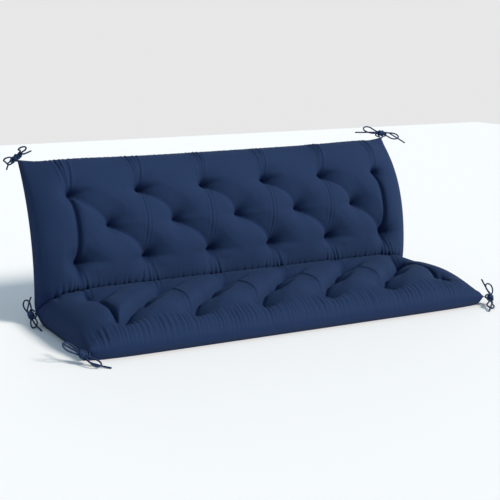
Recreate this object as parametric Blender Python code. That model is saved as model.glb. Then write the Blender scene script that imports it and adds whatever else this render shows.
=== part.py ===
"""Tufted bench cushion: one filled pad that covers a seat and a back, bent at its cross seam.

The pad rests on its seat half and the back half stands up from the bend. Six pairs of
fabric ties, at the four corners and at both ends of the bend, are knotted in bows.
Frame: X along the bench, front edge towards -Y, +Z up, underside of the seat on z = 0.
"""

import math

import bpy
import numpy as np
from mathutils import Vector

# --- Driving sizes, in metres ---------------------------------------------------------
WIDTH = 1.50  # seam to seam along the bench
TUFT_PITCH = 0.247  # between the tufts of a row
SEAT_ROW_PITCH = 0.1235  # between rows of tufts on the seat
BACK_ROW_PITCH = 0.1105  # the same on the back, whose seam lies inside its curve
BEND_TO_SEAT_ROW = 0.170  # from the cross seam to the nearest row
BEND_TO_BACK_ROW = 0.157
BACK_MARGIN = 0.156  # from the top row of tufts to the top seam's corners
SEAT_MARGIN = 0.092  # from the front row of tufts to the front seam's corners

# The seam's level in side view: flat under the seat, a tight bend, a back that leans.
SEAM_LEVEL = 0.029
BEND_RADIUS = 0.038
BEND_CENTRE_Y = 0.158
LEAN_AT_BEND = math.radians(-6.5)
LEAN_PER_METRE = 1.63

# How far the filling stands off the seam's level, on the side sat on and on the other.
SEAT_CROWN_TOP = 0.087
SEAT_CROWN_UNDER = 0.045
BACK_CROWN_FRONT = 0.092
BACK_CROWN_REAR = 0.034
BEND_CROWN_INSIDE = 0.030
BEND_CROWN_OUTSIDE = 0.016
BEND_REACH = 0.080  # how far from the cross seam the crown is full again
FOLD_GAP = 0.0008  # each half stops this far short of the plane where they meet at the bend
SIDE_REACH = 0.145  # how far from the outer seam the crown is full again
END_REACH = 0.110
UNDER_REACH = 0.055  # the same below the seat, which its weight presses flat
EDGE_ROUNDNESS = 2.1

# Tufts and the creases that run between them, as depths below the crown.
TUFT_RADIUS = 0.027
TUFT_DEPTH_TOP = 0.020
TUFT_DEPTH_UNDER = 0.012
STRONG_CREASE = 0.016
WEAK_CREASE = 0.008
EDGE_PLEAT = 0.009
CREASE_SHARPNESS = 3.5
CREASE_BOW = 0.020  # how far the slanting creases bow sideways between two rows
SIDE_CREASE_BOW = 0.10  # sideways bow of the end creases, in tuft pitches

# The outline: the top drawn in between corners that are pulled out to points.
TOP_DRAWN_IN = 0.029
FRONT_DRAWN_IN = -0.021  # the front bulges out past its corners
TOP_BOW, FRONT_BOW = 4, 10  # how close to its corners each of them runs straight
END_SKEW = 0.005  # the right end of the top and of the front lies this much further out
BACK_SWAY = 0.003  # the top lies this much to the right
CORNER_PULL = 0.003

# Ties
TIE_DIAMETER = 0.0055
TIE_LENGTH = 0.32
TUBE_STEP = 2.4  # diameters between points of a tie's tube
KNOT_OFFSET = 0.0195  # from the seam's corner to the middle of its knot
KNOT_BORE = 0.0075
KNOT_SIDES = 20
WRAP_SLANT = 0.0015

NAVY = (0.022, 0.036, 0.085, 1.0)
NAVY_TIE = (0.026, 0.041, 0.092, 1.0)


def material(name, colour, roughness):
    """A plain cloth finish."""
    finish = bpy.data.materials.new(name)
    finish.use_nodes = True
    shader = finish.node_tree.nodes["Principled BSDF"]
    shader.inputs["Base Color"].default_value = colour
    shader.inputs["Roughness"].default_value = roughness
    shader.inputs["Metallic"].default_value = 0.0
    return finish


def add_mesh(name, points, faces, finish):
    """One named object from points and faces, shaded smooth."""
    mesh = bpy.data.meshes.new(name)
    mesh.from_pydata([tuple(map(float, p)) for p in points], [], faces)
    mesh.shade_smooth()
    mesh.materials.append(finish)
    piece = bpy.data.objects.new(name, mesh)
    bpy.context.scene.collection.objects.link(piece)
    return piece


# --- The pad's side view --------------------------------------------------------------
BACK_LENGTH = BEND_TO_BACK_ROW + 2 * BACK_ROW_PITCH + BACK_MARGIN
SEAT_LENGTH = BEND_TO_SEAT_ROW + 2 * SEAT_ROW_PITCH + SEAT_MARGIN
BEND_TURN = math.pi / 2 - LEAN_AT_BEND
HALF_BEND = BEND_RADIUS * BEND_TURN / 2


def side_view(t):
    """Point (y, z) and direction of the seam's level at t metres up from the cross seam."""
    centre = (BEND_CENTRE_Y, SEAM_LEVEL + BEND_RADIUS)
    if t <= -HALF_BEND:
        return centre[0] + t + HALF_BEND, SEAM_LEVEL, 0.0
    if t <= HALF_BEND:
        turn = (t + HALF_BEND) / BEND_RADIUS
        y = centre[0] + BEND_RADIUS * math.sin(turn)
        return y, centre[1] - BEND_RADIUS * math.cos(turn), turn
    y, z, turn = side_view(HALF_BEND)
    steps = 24
    step = (t - HALF_BEND) / steps
    for i in range(steps):
        middle = turn - LEAN_PER_METRE * (i + 0.5) * step
        y += step * math.cos(middle)
        z += step * math.sin(middle)
    return y, z, turn - LEAN_PER_METRE * (t - HALF_BEND)


def smooth_step(value):
    value = min(max(value, 0.0), 1.0)
    return value * value * (3 - 2 * value)


def rounded(distance, reach):
    """0 at a seam, rising steeply like a rounded edge to 1 at reach."""
    inward = 1 - min(max(distance / reach, 0.0), 1.0)
    return (1 - inward**EDGE_ROUNDNESS) ** (1 / EDGE_ROUNDNESS)


# --- The tufting ----------------------------------------------------------------------
LAST_COLUMN = 2.5  # the outer tufts of the long rows, in tuft pitches from the middle


def row_pitch(t):
    return BACK_ROW_PITCH if t > 0 else SEAT_ROW_PITCH


def row_number(t):
    """Rows count 1, 2, 3 away from the cross seam on each half; the middle row is offset."""
    first = BEND_TO_BACK_ROW if t > 0 else BEND_TO_SEAT_ROW
    return 1 + (abs(t) - first) / row_pitch(t)


def tuft_field(x, t):
    """How deep the surface is drawn in at a point: tufts, slanting creases, edge pleats."""
    column = x / TUFT_PITCH
    row = row_number(t)
    lapped = 1 - abs(math.sin(math.pi * (column + row / 2)))
    faint = 1 - abs(math.sin(math.pi * (column - row / 2)))
    inside_rows = smooth_step((3.45 - row) / 0.45) * smooth_step((row - 0.55) / 0.45)
    inside_columns = smooth_step((LAST_COLUMN + 0.45 - abs(column)) / 0.45)
    inside = inside_rows * inside_columns
    strong = STRONG_CREASE * lapped**CREASE_SHARPNESS
    weak = WEAK_CREASE * faint**CREASE_SHARPNESS
    depth = inside * (strong + weak)

    pleat = abs(math.cos(math.pi * column))
    pleat = (1 - pleat) ** CREASE_SHARPNESS if abs(column) < LAST_COLUMN + 0.5 else 0.0
    depth += EDGE_PLEAT * pleat * (1 - inside_rows)

    if 1 <= row <= 3:
        bow = SIDE_CREASE_BOW * math.sin(math.pi * (row - 1) / 2)
        for end in (-LAST_COLUMN, LAST_COLUMN):
            off = abs(column - end - bow) * TUFT_PITCH / TUFT_RADIUS
            depth = max(depth, (STRONG_CREASE + WEAK_CREASE) * math.exp(-(off**2)))
    return depth


def tuft_pull(x, t):
    """1 on a tuft, falling to 0 around it."""
    column = x / TUFT_PITCH
    row = round(row_number(t))
    if not 1 <= row <= 3:
        return 0.0
    half = 0.5 if row % 2 else 0.0
    nearest = round(column - half) + half
    if abs(nearest) > LAST_COLUMN:
        return 0.0
    along = (column - nearest) * TUFT_PITCH
    across = (row_number(t) - row) * row_pitch(t)
    return math.exp(-((along**2 + across**2) / TUFT_RADIUS**2))


def fold_room(t):
    """How far the inner face may stand off before it meets the other half at the bend.

    The two halves' crowns press on each other in the plane that halves the bend.
    """
    half_turn = BEND_TURN / 2
    if abs(t) <= HALF_BEND:
        at_bend = BEND_RADIUS - FOLD_GAP / math.sin(half_turn)
        return BEND_CROWN_INSIDE + (at_bend - BEND_CROWN_INSIDE) * abs(t) / HALF_BEND
    y, z, turn = side_view(t)
    y -= BEND_CENTRE_Y
    z -= SEAM_LEVEL + BEND_RADIUS
    away = abs(y * math.cos(half_turn) + z * math.sin(half_turn))
    return (away - FOLD_GAP) / max(abs(math.sin(half_turn - turn)), 0.05)


def offsets(x, t):
    """How far the two faces stand off the seam's level at a point of the flat pattern."""
    on_back = smooth_step((t + 0.05) / 0.10)
    end = (BACK_LENGTH if t > 0 else SEAT_LENGTH) - abs(t)
    side = WIDTH / 2 - abs(x)
    edge = rounded(side, SIDE_REACH) * rounded(end, END_REACH)
    pressed = rounded(side, UNDER_REACH) * rounded(end, UNDER_REACH)
    from_bend = rounded(abs(t), BEND_REACH)
    top = SEAT_CROWN_TOP + (BACK_CROWN_FRONT - SEAT_CROWN_TOP) * on_back
    under = SEAT_CROWN_UNDER + (BACK_CROWN_REAR - SEAT_CROWN_UNDER) * on_back
    top = BEND_CROWN_INSIDE + (top - BEND_CROWN_INSIDE) * from_bend
    under = BEND_CROWN_OUTSIDE + (under - BEND_CROWN_OUTSIDE) * from_bend
    drawn = tuft_field(x, t)
    pull = tuft_pull(x, t)
    top -= drawn * from_bend + TUFT_DEPTH_TOP * pull
    under -= drawn * from_bend + TUFT_DEPTH_UNDER * pull
    return min(top * edge, fold_room(t)), under * (pressed + (edge - pressed) * on_back)


def outline(x, t):
    """Where a point of the flat pattern lies once the filling has drawn the outline in."""
    across = abs(x) / (WIDTH / 2)
    length = BACK_LENGTH if t > 0 else SEAT_LENGTH
    along = abs(t) / length
    end = (1 - across ** (TOP_BOW if t > 0 else FRONT_BOW)) * along**4
    corner = (across * along) ** 12
    between_rows = abs(math.sin(math.pi * row_number(t))) if 1 < row_number(t) < 3 else 0.0
    x += CREASE_BOW * between_rows * (1 - across**4)
    drawn_in = TOP_DRAWN_IN if t > 0 else FRONT_DRAWN_IN
    skew = END_SKEW * along**4 * x / (WIDTH / 2)
    t *= 1 - (drawn_in * end - skew - CORNER_PULL * corner) / length
    if t > 0:
        x += BACK_SWAY * along**2
    return x, t


def pad_point(x, t, offset):
    """A point of the pad in the frame, offset from the seam's level towards the sitter."""
    x, t = outline(x, t)
    y, z, turn = side_view(t)
    y -= offset * math.sin(turn)
    z += offset * math.cos(turn)
    return x, y, max(z, 0.0)


def margin_steps(margin):
    """Grid steps from the outer seam inwards, finer where the edge is round."""
    return [margin * part for part in (0.0, 0.07, 0.2, 0.4, 0.68)]


def column_places():
    """Grid lines across: ten to a tuft pitch, finer at both ends."""
    tufted = LAST_COLUMN * TUFT_PITCH
    inner = np.linspace(-tufted, tufted, 51)
    outer = [WIDTH / 2 - step for step in margin_steps(WIDTH / 2 - tufted)]
    return [-place for place in outer] + list(inner) + outer[::-1]


def row_places():
    """Grid lines along: five to a row pitch, six from the cross seam to the nearest row."""
    def half(first, pitch, length, margin):
        near = list(np.linspace(0.0, first, 7))
        tufted = list(np.linspace(first, first + 2 * pitch, 11))
        return near + tufted[1:] + [length - step for step in margin_steps(margin)][::-1]

    back = half(BEND_TO_BACK_ROW, BACK_ROW_PITCH, BACK_LENGTH, BACK_MARGIN)
    seat = half(BEND_TO_SEAT_ROW, SEAT_ROW_PITCH, SEAT_LENGTH, SEAT_MARGIN)
    return [-place for place in seat[1:]][::-1] + back


def split_quad(corners, x, t):
    """Two triangles whose shared edge follows the nearer slanting crease."""
    a, b, c, d = corners
    column = x / TUFT_PITCH
    slant = row_number(t) / 2 if t > 0 else -row_number(t) / 2
    rising = abs(math.sin(math.pi * (column - slant)))
    falling = abs(math.sin(math.pi * (column + slant)))
    if rising < falling:
        return [(a, b, c), (a, c, d)]
    return [(a, b, d), (b, c, d)]


def build_pad(finish):
    """The pad as one closed body: two faces that share the points of the outer seam."""
    columns, rows = column_places(), row_places()
    last_column, last_row = len(columns) - 1, len(rows) - 1
    points, top, under = [], {}, {}
    for j, t in enumerate(rows):
        for i, x in enumerate(columns):
            on_seam = i in (0, last_column) or j in (0, last_row)
            stand_top, stand_under = offsets(x, t)
            top[i, j] = under[i, j] = len(points)
            points.append(pad_point(x, t, 0.0 if on_seam else stand_top))
            if not on_seam:
                under[i, j] = len(points)
                points.append(pad_point(x, t, -stand_under))
    faces = []
    for j in range(last_row):
        for i in range(last_column):
            x = (columns[i] + columns[i + 1]) / 2
            t = (rows[j] + rows[j + 1]) / 2
            ring = ((i, j), (i + 1, j), (i + 1, j + 1), (i, j + 1))
            faces += split_quad([top[place] for place in ring], x, t)
            faces += [f[::-1] for f in split_quad([under[place] for place in ring], x, t)]
    return add_mesh("cushion", points, faces, finish)


# --- The ties -------------------------------------------------------------------------
# Each strand is sewn to the seam, passes through its knot, loops back through it and ends
# free. Its route, in millimetres, is (along the bow, away from the pad, to the viewer).
# The second strand of a bow follows the first one's route turned half round the way out.
ROOT_ROUTE = (
    (3.1, -19.2, 0.0),
    (5.8, -16.4, 1.6),
    (11.5, -15.0, 3.6),
    (18.0, -11.6, 4.6),
    (20.6, -6.6, 4.3),
    (17.8, -3.6, 3.4),
    (12.0, -3.1, 3.1),
    (0.0, -3.1, 3.1),
)
LOOP_ROUTE = (
    (-12.0, -3.1, 3.1),
    (-18.0, -4.0, 3.1),
    (-32.0, -9.0, 3.2),
    (-50.0, -12.5, 3.4),
    (-66.0, -9.5, 3.6),
    (-73.0, 0.0, 3.7),
    (-66.0, 9.5, 3.6),
    (-50.0, 12.5, 3.4),
    (-32.0, 9.0, 3.2),
    (-18.0, 4.0, 3.1),
    (-12.0, 3.1, 3.1),
    (0.0, 3.1, 3.1),
)
TAIL_ROUTE = (
    (12.0, 3.1, 3.1),
    (20.0, 3.6, 4.2),
    (34.0, 4.0, 7.5),
    (52.0, 2.0, 10.5),
    (72.0, -1.0, 11.5),
    (96.0, -5.0, 11.5),
    (125.0, -10.0, 11.0),
)
FREE_FROM = 14.0  # from here outwards a loop or a tail turns off the bow's line
FREE_OVER = 36.0

# One row for each bow: which corner, the way from there to its knot, the way the bow
# runs, and how its loops and tails turn off that line: (lift away from the pad, swing
# towards the viewer) in degrees. root_lift, in millimetres, sets the sewn end of each of
# the two strands against the pad's corner.
BOWS = (
    dict(
        name="top_left", side=-1, end=1, root_lift=(0.5, -2.5),
        way_out=(-0.415, -0.789, 0.454), line=(0.785, 0.113, 0.609),
        left_loop=(70, -20), left_tail=(-60, -16), right_loop=(62, 38), right_tail=(53, 47),
    ),
    dict(
        name="top_right", side=1, end=1, root_lift=(-4.0, 0.0),
        way_out=(0.293, 0.519, 0.803), line=(0.980, -0.153, 0.124),
        left_loop=(16, -8), left_tail=(19, -29), right_loop=(-17, 16), right_tail=(-18, -6),
    ),
    dict(
        name="bend_left", side=-1, end=0, root_lift=(3.0, 0.6),
        way_out=(-0.709, 0.278, -0.649), line=(-0.023, -0.952, -0.305),
        left_loop=(-6, -17), left_tail=(-7, 17), right_loop=(1, -1), right_tail=(-3, -9),
    ),
    dict(
        name="bend_right", side=1, end=0, root_lift=(3.0, 0.8),
        way_out=(0.709, 0.278, -0.649), line=(0.023, -0.952, -0.305),
        left_loop=(-6, -17), left_tail=(-7, 17), right_loop=(1, -1), right_tail=(-3, -9),
    ),
    dict(
        name="front_left", side=-1, end=-1, root_lift=(-3.2, 0.6),
        way_out=(-0.921, -0.328, -0.211), line=(0.107, -0.948, -0.301),
        left_loop=(24, -31), left_tail=(-3, 17), right_loop=(0, 2), right_tail=(-8, -7),
    ),
    dict(
        name="front_right", side=1, end=-1, root_lift=(-1.8, -0.2),
        way_out=(0.842, -0.481, -0.246), line=(-0.290, -0.804, -0.519),
        left_loop=(-7, -1), left_tail=(-12, 0), right_loop=(-6, 18), right_tail=(-6, 9),
    ),
)


def seam_corner(side, end):
    """The seam's corner: side -1 or 1 across; end 1 is the top, 0 the bend, -1 the front."""
    t = {1: BACK_LENGTH, 0: 0.0, -1: -SEAT_LENGTH}[end]
    return Vector(pad_point(side * WIDTH / 2, t, 0.0))


def bow_frame(bow):
    """The middle of a bow's knot and its three directions."""
    out = Vector(bow["way_out"]).normalized()
    line = Vector(bow["line"])
    line = (line - out * line.dot(out)).normalized()
    return seam_corner(bow["side"], bow["end"]) + out * KNOT_OFFSET, (line, out, line.cross(out))


def turned(point, turn):
    """A route point with the loop or tail it belongs to turned off the bow's line."""
    reach = abs(point[0]) - FREE_FROM
    if reach <= 0:
        return Vector(point)
    share = smooth_step(reach / FREE_OVER)
    lift, swing = (math.radians(angle) * share for angle in turn)
    side = math.copysign(1.0, point[0])
    ahead, up, near = reach, point[1], point[2]
    ahead, up = ahead * math.cos(lift) - up * math.sin(lift), ahead * math.sin(lift) + up * math.cos(lift)
    ahead, near = (
        ahead * math.cos(swing) - near * math.sin(swing),
        ahead * math.sin(swing) + near * math.cos(swing),
    )
    return Vector((side * (FREE_FROM + ahead), up, near))


def strand_route(bow, second):
    """Points of one strand in the frame, in metres."""
    middle, axes = bow_frame(bow)
    loop, tail = ("right_loop", "left_tail") if second else ("left_loop", "right_tail")
    flip = -1.0 if second else 1.0
    (along, out, near), *rest = ROOT_ROUTE
    root = ((along, out + bow["root_lift"][second], near), *rest)
    parts = ((root, (0, 0)), (LOOP_ROUTE, bow[loop]), (TAIL_ROUTE, bow[tail]))
    route = []
    for points, turn in parts:
        swing = (turn[0], turn[1] * flip)
        for point in points:
            x, y, z = turned(point, swing) / 1000
            route.append(middle + axes[0] * x * flip + axes[1] * y + axes[2] * z * flip)
    return route


def smooth_curve(route, samples=12):
    """A smooth line through the points of a route (Catmull-Rom), kept above the floor."""
    line = []
    for i in range(len(route) - 1):
        before = route[max(i - 1, 0)]
        start, stop = route[i], route[i + 1]
        after = route[min(i + 2, len(route) - 1)]
        for j in range(samples):
            s = j / samples
            line.append(
                0.5
                * (
                    2 * start
                    + (stop - before) * s
                    + (2 * before - 5 * start + 4 * stop - after) * s**2
                    + (3 * start - before - 3 * stop + after) * s**3
                )
            )
    line.append(route[-1])
    return [Vector((point.x, point.y, max(point.z, TIE_DIAMETER / 2))) for point in line]


def evenly(line, step, length):
    """Points every step metres along a line, cut to the given length."""
    count = max(2, round(length / step))
    spacing, points, travelled, due = length / count, [line[0]], 0.0, length / count
    for start, stop in zip(line, line[1:]):
        run = (stop - start).length
        while run > 0 and travelled + run >= due and len(points) <= count:
            points.append(start.lerp(stop, (due - travelled) / run))
            due += spacing
        travelled += run
    return points


def build_strand(bow, second, finish):
    """One tie as a round tube along its route."""
    name = f"tie_{bow['name']}_{'b' if second else 'a'}"
    step = TUBE_STEP * TIE_DIAMETER
    points = evenly(smooth_curve(strand_route(bow, second)), step, TIE_LENGTH)
    curve = bpy.data.curves.new(name, "CURVE")
    curve.dimensions = "3D"
    curve.bevel_depth = TIE_DIAMETER / 2
    curve.bevel_resolution = 2
    curve.use_fill_caps = True
    spline = curve.splines.new("POLY")
    spline.points.add(len(points) - 1)
    for target, point in zip(spline.points, points):
        target.co = (*point, 1.0)
    curve.materials.append(finish)
    piece = bpy.data.objects.new(name, curve)
    bpy.context.scene.collection.objects.link(piece)
    return piece


# The knot's band in section, in millimetres: (along the bow, out from the bore).
KNOT_SECTION = (
    (-9.0, 0.0), (9.0, 0.0), (10.3, 1.8), (8.6, 3.7), (5.6, 4.2),
    (2.4, 3.6), (0.0, 2.3), (-2.4, 3.6), (-5.6, 4.2), (-8.6, 3.7), (-10.3, 1.8),
)


def build_knot(bow, finish):
    """The knot: a band wrapped twice round the four strands that cross in it."""
    middle, (line, out, near) = bow_frame(bow)
    points, faces = [], []
    size = len(KNOT_SECTION)
    for i in range(KNOT_SIDES):
        angle = 2 * math.pi * i / KNOT_SIDES
        ray = out * math.cos(angle) + near * math.sin(angle)
        for along, rise in KNOT_SECTION:
            slant = WRAP_SLANT * math.sin(angle) * (rise / 4)
            points.append(middle + line * (along / 1000 + slant) + ray * (KNOT_BORE + rise / 1000))
    for i in range(KNOT_SIDES):
        here, beyond = i * size, (i + 1) % KNOT_SIDES * size
        for k in range(size):
            after = (k + 1) % size
            faces.append((here + k, here + after, beyond + after, beyond + k))
    return add_mesh(f"knot_{bow['name']}", points, faces, finish)


# --- Building -------------------------------------------------------------------------
def build_all():
    for piece in list(bpy.data.objects):
        bpy.data.objects.remove(piece, do_unlink=True)
    build_pad(material("navy_cloth", NAVY, 0.9))
    tie_finish = material("navy_tie", NAVY_TIE, 0.85)
    for bow in BOWS:
        build_knot(bow, tie_finish)
        for second in (False, True):
            build_strand(bow, second, tie_finish)


build_all()
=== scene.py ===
# %% [markdown]
# # A tufted bench cushion
# One navy pad covers a bench's seat and its back. It is two panels of plain-weave cloth, sewn
# together round the outside, filled with loose fibre, drawn in by tufts and bent at a cross
# seam. Six pairs of narrow fabric ties are knotted in bows at the corners and at the bend.
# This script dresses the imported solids: it builds the cloth pad, lets Blender's cloth solver
# settle it, adds gathers, thread and ties, and gives each finish its own procedural material.

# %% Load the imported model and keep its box
import math

import bpy
import numpy as np
from mathutils import Matrix, Vector


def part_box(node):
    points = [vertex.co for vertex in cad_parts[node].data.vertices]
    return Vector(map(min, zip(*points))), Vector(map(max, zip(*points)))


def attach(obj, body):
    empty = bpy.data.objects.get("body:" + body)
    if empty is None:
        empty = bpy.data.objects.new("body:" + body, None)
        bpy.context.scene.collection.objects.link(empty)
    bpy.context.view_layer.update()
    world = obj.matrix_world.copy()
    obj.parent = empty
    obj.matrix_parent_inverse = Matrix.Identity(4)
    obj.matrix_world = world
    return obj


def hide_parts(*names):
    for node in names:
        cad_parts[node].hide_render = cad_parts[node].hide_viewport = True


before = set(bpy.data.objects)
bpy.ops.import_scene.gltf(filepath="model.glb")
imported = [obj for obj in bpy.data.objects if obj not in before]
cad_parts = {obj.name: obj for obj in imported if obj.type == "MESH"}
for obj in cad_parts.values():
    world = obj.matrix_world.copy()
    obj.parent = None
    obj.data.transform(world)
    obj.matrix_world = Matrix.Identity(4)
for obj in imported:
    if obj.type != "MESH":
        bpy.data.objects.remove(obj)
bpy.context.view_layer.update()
pad_low, pad_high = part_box("cushion")
print(len(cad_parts), "nodes, pad box", [round(v, 4) for v in (*pad_low, *pad_high)])

# %% [markdown]
# ## Where the camera stands
# The photograph was taken from the left front, a little above the seat, with a long lens. A
# camera could be placed by eye, but then a wrong lens hides as a wrong shape. Its place and its
# lens were solved instead from the tuft grid, which is regular on the real cushion, so the
# corners and the tufts land where the photograph has them.

# %% Camera
CAMERA_AZIMUTH = math.radians(-28.546)
CAMERA_HEIGHT = math.radians(11.261)
CAMERA_DISTANCE = 3.873
CAMERA_TARGET = Vector((-0.0178, 0.0282, 0.2104))
FOCAL_PIXELS = 1103.65  # focal length for a picture 500 pixels wide
PICTURE_WIDTH = 500
SENSOR_WIDTH = 36.0  # millimetres
FARTHEST_SEEN = 60.0

toward_camera = Vector(
    (
        math.sin(CAMERA_AZIMUTH) * math.cos(CAMERA_HEIGHT),
        -math.cos(CAMERA_AZIMUTH) * math.cos(CAMERA_HEIGHT),
        math.sin(CAMERA_HEIGHT),
    )
)
picture_right = Vector((math.cos(CAMERA_AZIMUTH), math.sin(CAMERA_AZIMUTH), 0.0))
picture_up = toward_camera.cross(picture_right)

camera_data = bpy.data.cameras.new("camera")
camera_data.sensor_width = SENSOR_WIDTH
camera_data.lens = SENSOR_WIDTH * FOCAL_PIXELS / PICTURE_WIDTH
camera_data.clip_end = FARTHEST_SEEN
camera = bpy.data.objects.new("camera", camera_data)
bpy.context.scene.collection.objects.link(camera)
axes = Matrix((picture_right, picture_up, toward_camera)).transposed().to_4x4()
camera.matrix_world = Matrix.Translation(CAMERA_TARGET + toward_camera * CAMERA_DISTANCE) @ axes
bpy.context.scene.camera = camera
print("camera at", [round(v, 3) for v in camera.matrix_world.translation])

# %% [markdown]
# ## The strands of the ties
# Each tie is a narrow tube of the same cloth, sewn to the seam at one end and cut off at the
# other. It could be simulated as a rope, but a bow is held by its knot, so its route is a short
# list of points given for one strand. The second strand of a bow runs the same way,
# turned half round, and each loop and tail is then swung to where the photograph shows it.

# %% Route of one strand, in millimetres: (along the bow, away from the pad, to the viewer)
TIE_DIAMETER = 0.0055
TIE_LENGTH = 0.32
KNOT_OFFSET = 0.0195  # from the seam's corner to the middle of its knot
MILLIMETRES = 1000  # in a metre
ROOT_ROUTE = (
    (3.1, -19.2, 0.0),
    (5.8, -16.4, 1.6),
    (11.5, -15.0, 3.6),
    (18.0, -11.6, 4.6),
    (20.6, -6.6, 4.3),
    (17.8, -3.6, 3.4),
    (12.0, -3.1, 3.1),
    (0.0, -3.1, 3.1),
)
LOOP_ROUTE = (
    (-12.0, -3.1, 3.1),
    (-18.0, -4.0, 3.1),
    (-32.0, -9.0, 3.2),
    (-50.0, -12.5, 3.4),
    (-66.0, -9.5, 3.6),
    (-73.0, 0.0, 3.7),
    (-66.0, 9.5, 3.6),
    (-50.0, 12.5, 3.4),
    (-32.0, 9.0, 3.2),
    (-18.0, 4.0, 3.1),
    (-12.0, 3.1, 3.1),
    (0.0, 3.1, 3.1),
)
TAIL_ROUTE = (
    (12.0, 3.1, 3.1),
    (20.0, 3.6, 4.2),
    (34.0, 4.0, 7.5),
    (52.0, 2.0, 10.5),
    (72.0, -1.0, 11.5),
    (96.0, -5.0, 11.5),
    (125.0, -10.0, 11.0),
)
FREE_FROM = 14.0  # from here outwards a loop or a tail turns off the bow's line
FREE_OVER = 36.0  # and over this length it comes round to its full turn
print("route of", len(ROOT_ROUTE) + len(LOOP_ROUTE) + len(TAIL_ROUTE), "points")

# %% [markdown]
# ## Where each bow hangs
# The six bows are tied alike, but each lies as it fell. One could bend every strand by hand,
# twelve times over. Here each bow is one row instead: `side` and `end` say which corner,
# `way_out` points from that corner to its knot, `line` is the way the bow runs, and each loop
# and tail turns off that line by two angles in degrees: (lift away from the pad, swing to the
# viewer). `root_lift`, in millimetres, sets both sewn ends against the pad's corner.

# %% The six bows
BOWS = (
    dict(
        name="top_left", side=-1, end=1, root_lift=(0.5, -2.5),
        way_out=(-0.415, -0.789, 0.454), line=(0.785, 0.113, 0.609),
        left_loop=(70, -20), left_tail=(-60, -16), right_loop=(62, 38), right_tail=(53, 47),
    ),
    dict(
        name="top_right", side=1, end=1, root_lift=(-4.0, 0.0),
        way_out=(0.293, 0.519, 0.803), line=(0.980, -0.153, 0.124),
        left_loop=(16, -8), left_tail=(19, -29), right_loop=(-17, 16), right_tail=(-18, -6),
    ),
    dict(
        name="bend_left", side=-1, end=0, root_lift=(3.0, 0.6),
        way_out=(-0.709, 0.278, -0.649), line=(-0.023, -0.952, -0.305),
        left_loop=(-6, -17), left_tail=(-7, 17), right_loop=(1, -1), right_tail=(-3, -9),
    ),
    dict(
        name="bend_right", side=1, end=0, root_lift=(3.0, 0.8),
        way_out=(0.709, 0.278, -0.649), line=(0.023, -0.952, -0.305),
        left_loop=(-6, -17), left_tail=(-7, 17), right_loop=(1, -1), right_tail=(-3, -9),
    ),
    dict(
        name="front_left", side=-1, end=-1, root_lift=(-3.2, 0.6),
        way_out=(-0.921, -0.328, -0.211), line=(0.107, -0.948, -0.301),
        left_loop=(24, -31), left_tail=(-3, 17), right_loop=(0, 2), right_tail=(-8, -7),
    ),
    dict(
        name="front_right", side=1, end=-1, root_lift=(-1.8, -0.2),
        way_out=(0.842, -0.481, -0.246), line=(-0.290, -0.804, -0.519),
        left_loop=(-7, -1), left_tail=(-12, 0), right_loop=(-6, 18), right_tail=(-6, 9),
    ),
)
print("bows", [bow["name"] for bow in BOWS])

# %% [markdown]
# ## The pad's pattern and its side view
# A real pad starts as two flat panels. It could be modelled bent from the start, but seams,
# tufts and folds are even only on the flat pattern. So every point is named by its place there:
# `x` along the bench and `t` up from the cross seam, negative on the seat. The seam's level
# bends those places into the L shape, and the filling stands off that level on both faces. The
# same sizes are in the solid's own script, so the cloth lies on the solid.

# %% Sizes of the pattern
WIDTH = 1.50
TUFT_PITCH = 0.247  # between the tufts of a row
SEAT_ROW_PITCH = 0.1235  # between the rows of tufts
BACK_ROW_PITCH = 0.1105
BEND_TO_SEAT_ROW = 0.170  # from the cross seam to the first row
BEND_TO_BACK_ROW = 0.157
BACK_MARGIN = 0.156  # from the last row to the seam's corners
SEAT_MARGIN = 0.092
BACK_LENGTH = BEND_TO_BACK_ROW + 2 * BACK_ROW_PITCH + BACK_MARGIN
SEAT_LENGTH = BEND_TO_SEAT_ROW + 2 * SEAT_ROW_PITCH + SEAT_MARGIN
TOP_ROW = BEND_TO_BACK_ROW + 2 * BACK_ROW_PITCH
FRONT_ROW = -BEND_TO_SEAT_ROW - 2 * SEAT_ROW_PITCH
LAST_ROW = 3  # rows count 1, 2, 3 away from the cross seam
LAST_COLUMN = 2.5  # the outer tufts of the long rows, in tuft pitches from the middle
print("pattern of", WIDTH, "by", round(BACK_LENGTH + SEAT_LENGTH, 3), "m")

# %% Side view of the seam's level
SEAM_LEVEL = 0.029
BEND_RADIUS = 0.038
BEND_CENTRE_Y = 0.158
LEAN_AT_BEND = math.radians(-6.5)
LEAN_PER_METRE = 1.63  # how the back half curves away from the sitter, in radians
BEND_TURN = math.pi / 2 - LEAN_AT_BEND
HALF_BEND = BEND_RADIUS * BEND_TURN / 2


def side_view(t):
    """Points (y, z) and direction of the seam's level at t metres up from the cross seam."""
    turn = np.clip((t + HALF_BEND) / BEND_RADIUS, 0, BEND_TURN)
    y = BEND_CENTRE_Y + BEND_RADIUS * np.sin(turn) + np.minimum(t + HALF_BEND, 0)
    z = SEAM_LEVEL + BEND_RADIUS * (1 - np.cos(turn))
    lean = BEND_TURN - LEAN_PER_METRE * np.maximum(t - HALF_BEND, 0)
    y = y + (math.sin(BEND_TURN) - np.sin(lean)) / LEAN_PER_METRE
    z = z + (np.cos(lean) - math.cos(BEND_TURN)) / LEAN_PER_METRE
    return y, z, np.where(t > HALF_BEND, lean, turn)


print("top of the seam's level", np.round(side_view(BACK_LENGTH)[:2], 3))

# %% [markdown]
# ## The outline
# Filling shortens cloth, so the top edge is drawn in between its corners, the front bulges, and
# the creases bow. A fuller pad could be pushed into that shape by the solver alone, but it would
# find its own outline, not the photograph's. Here the places of the pattern are moved first.

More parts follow.
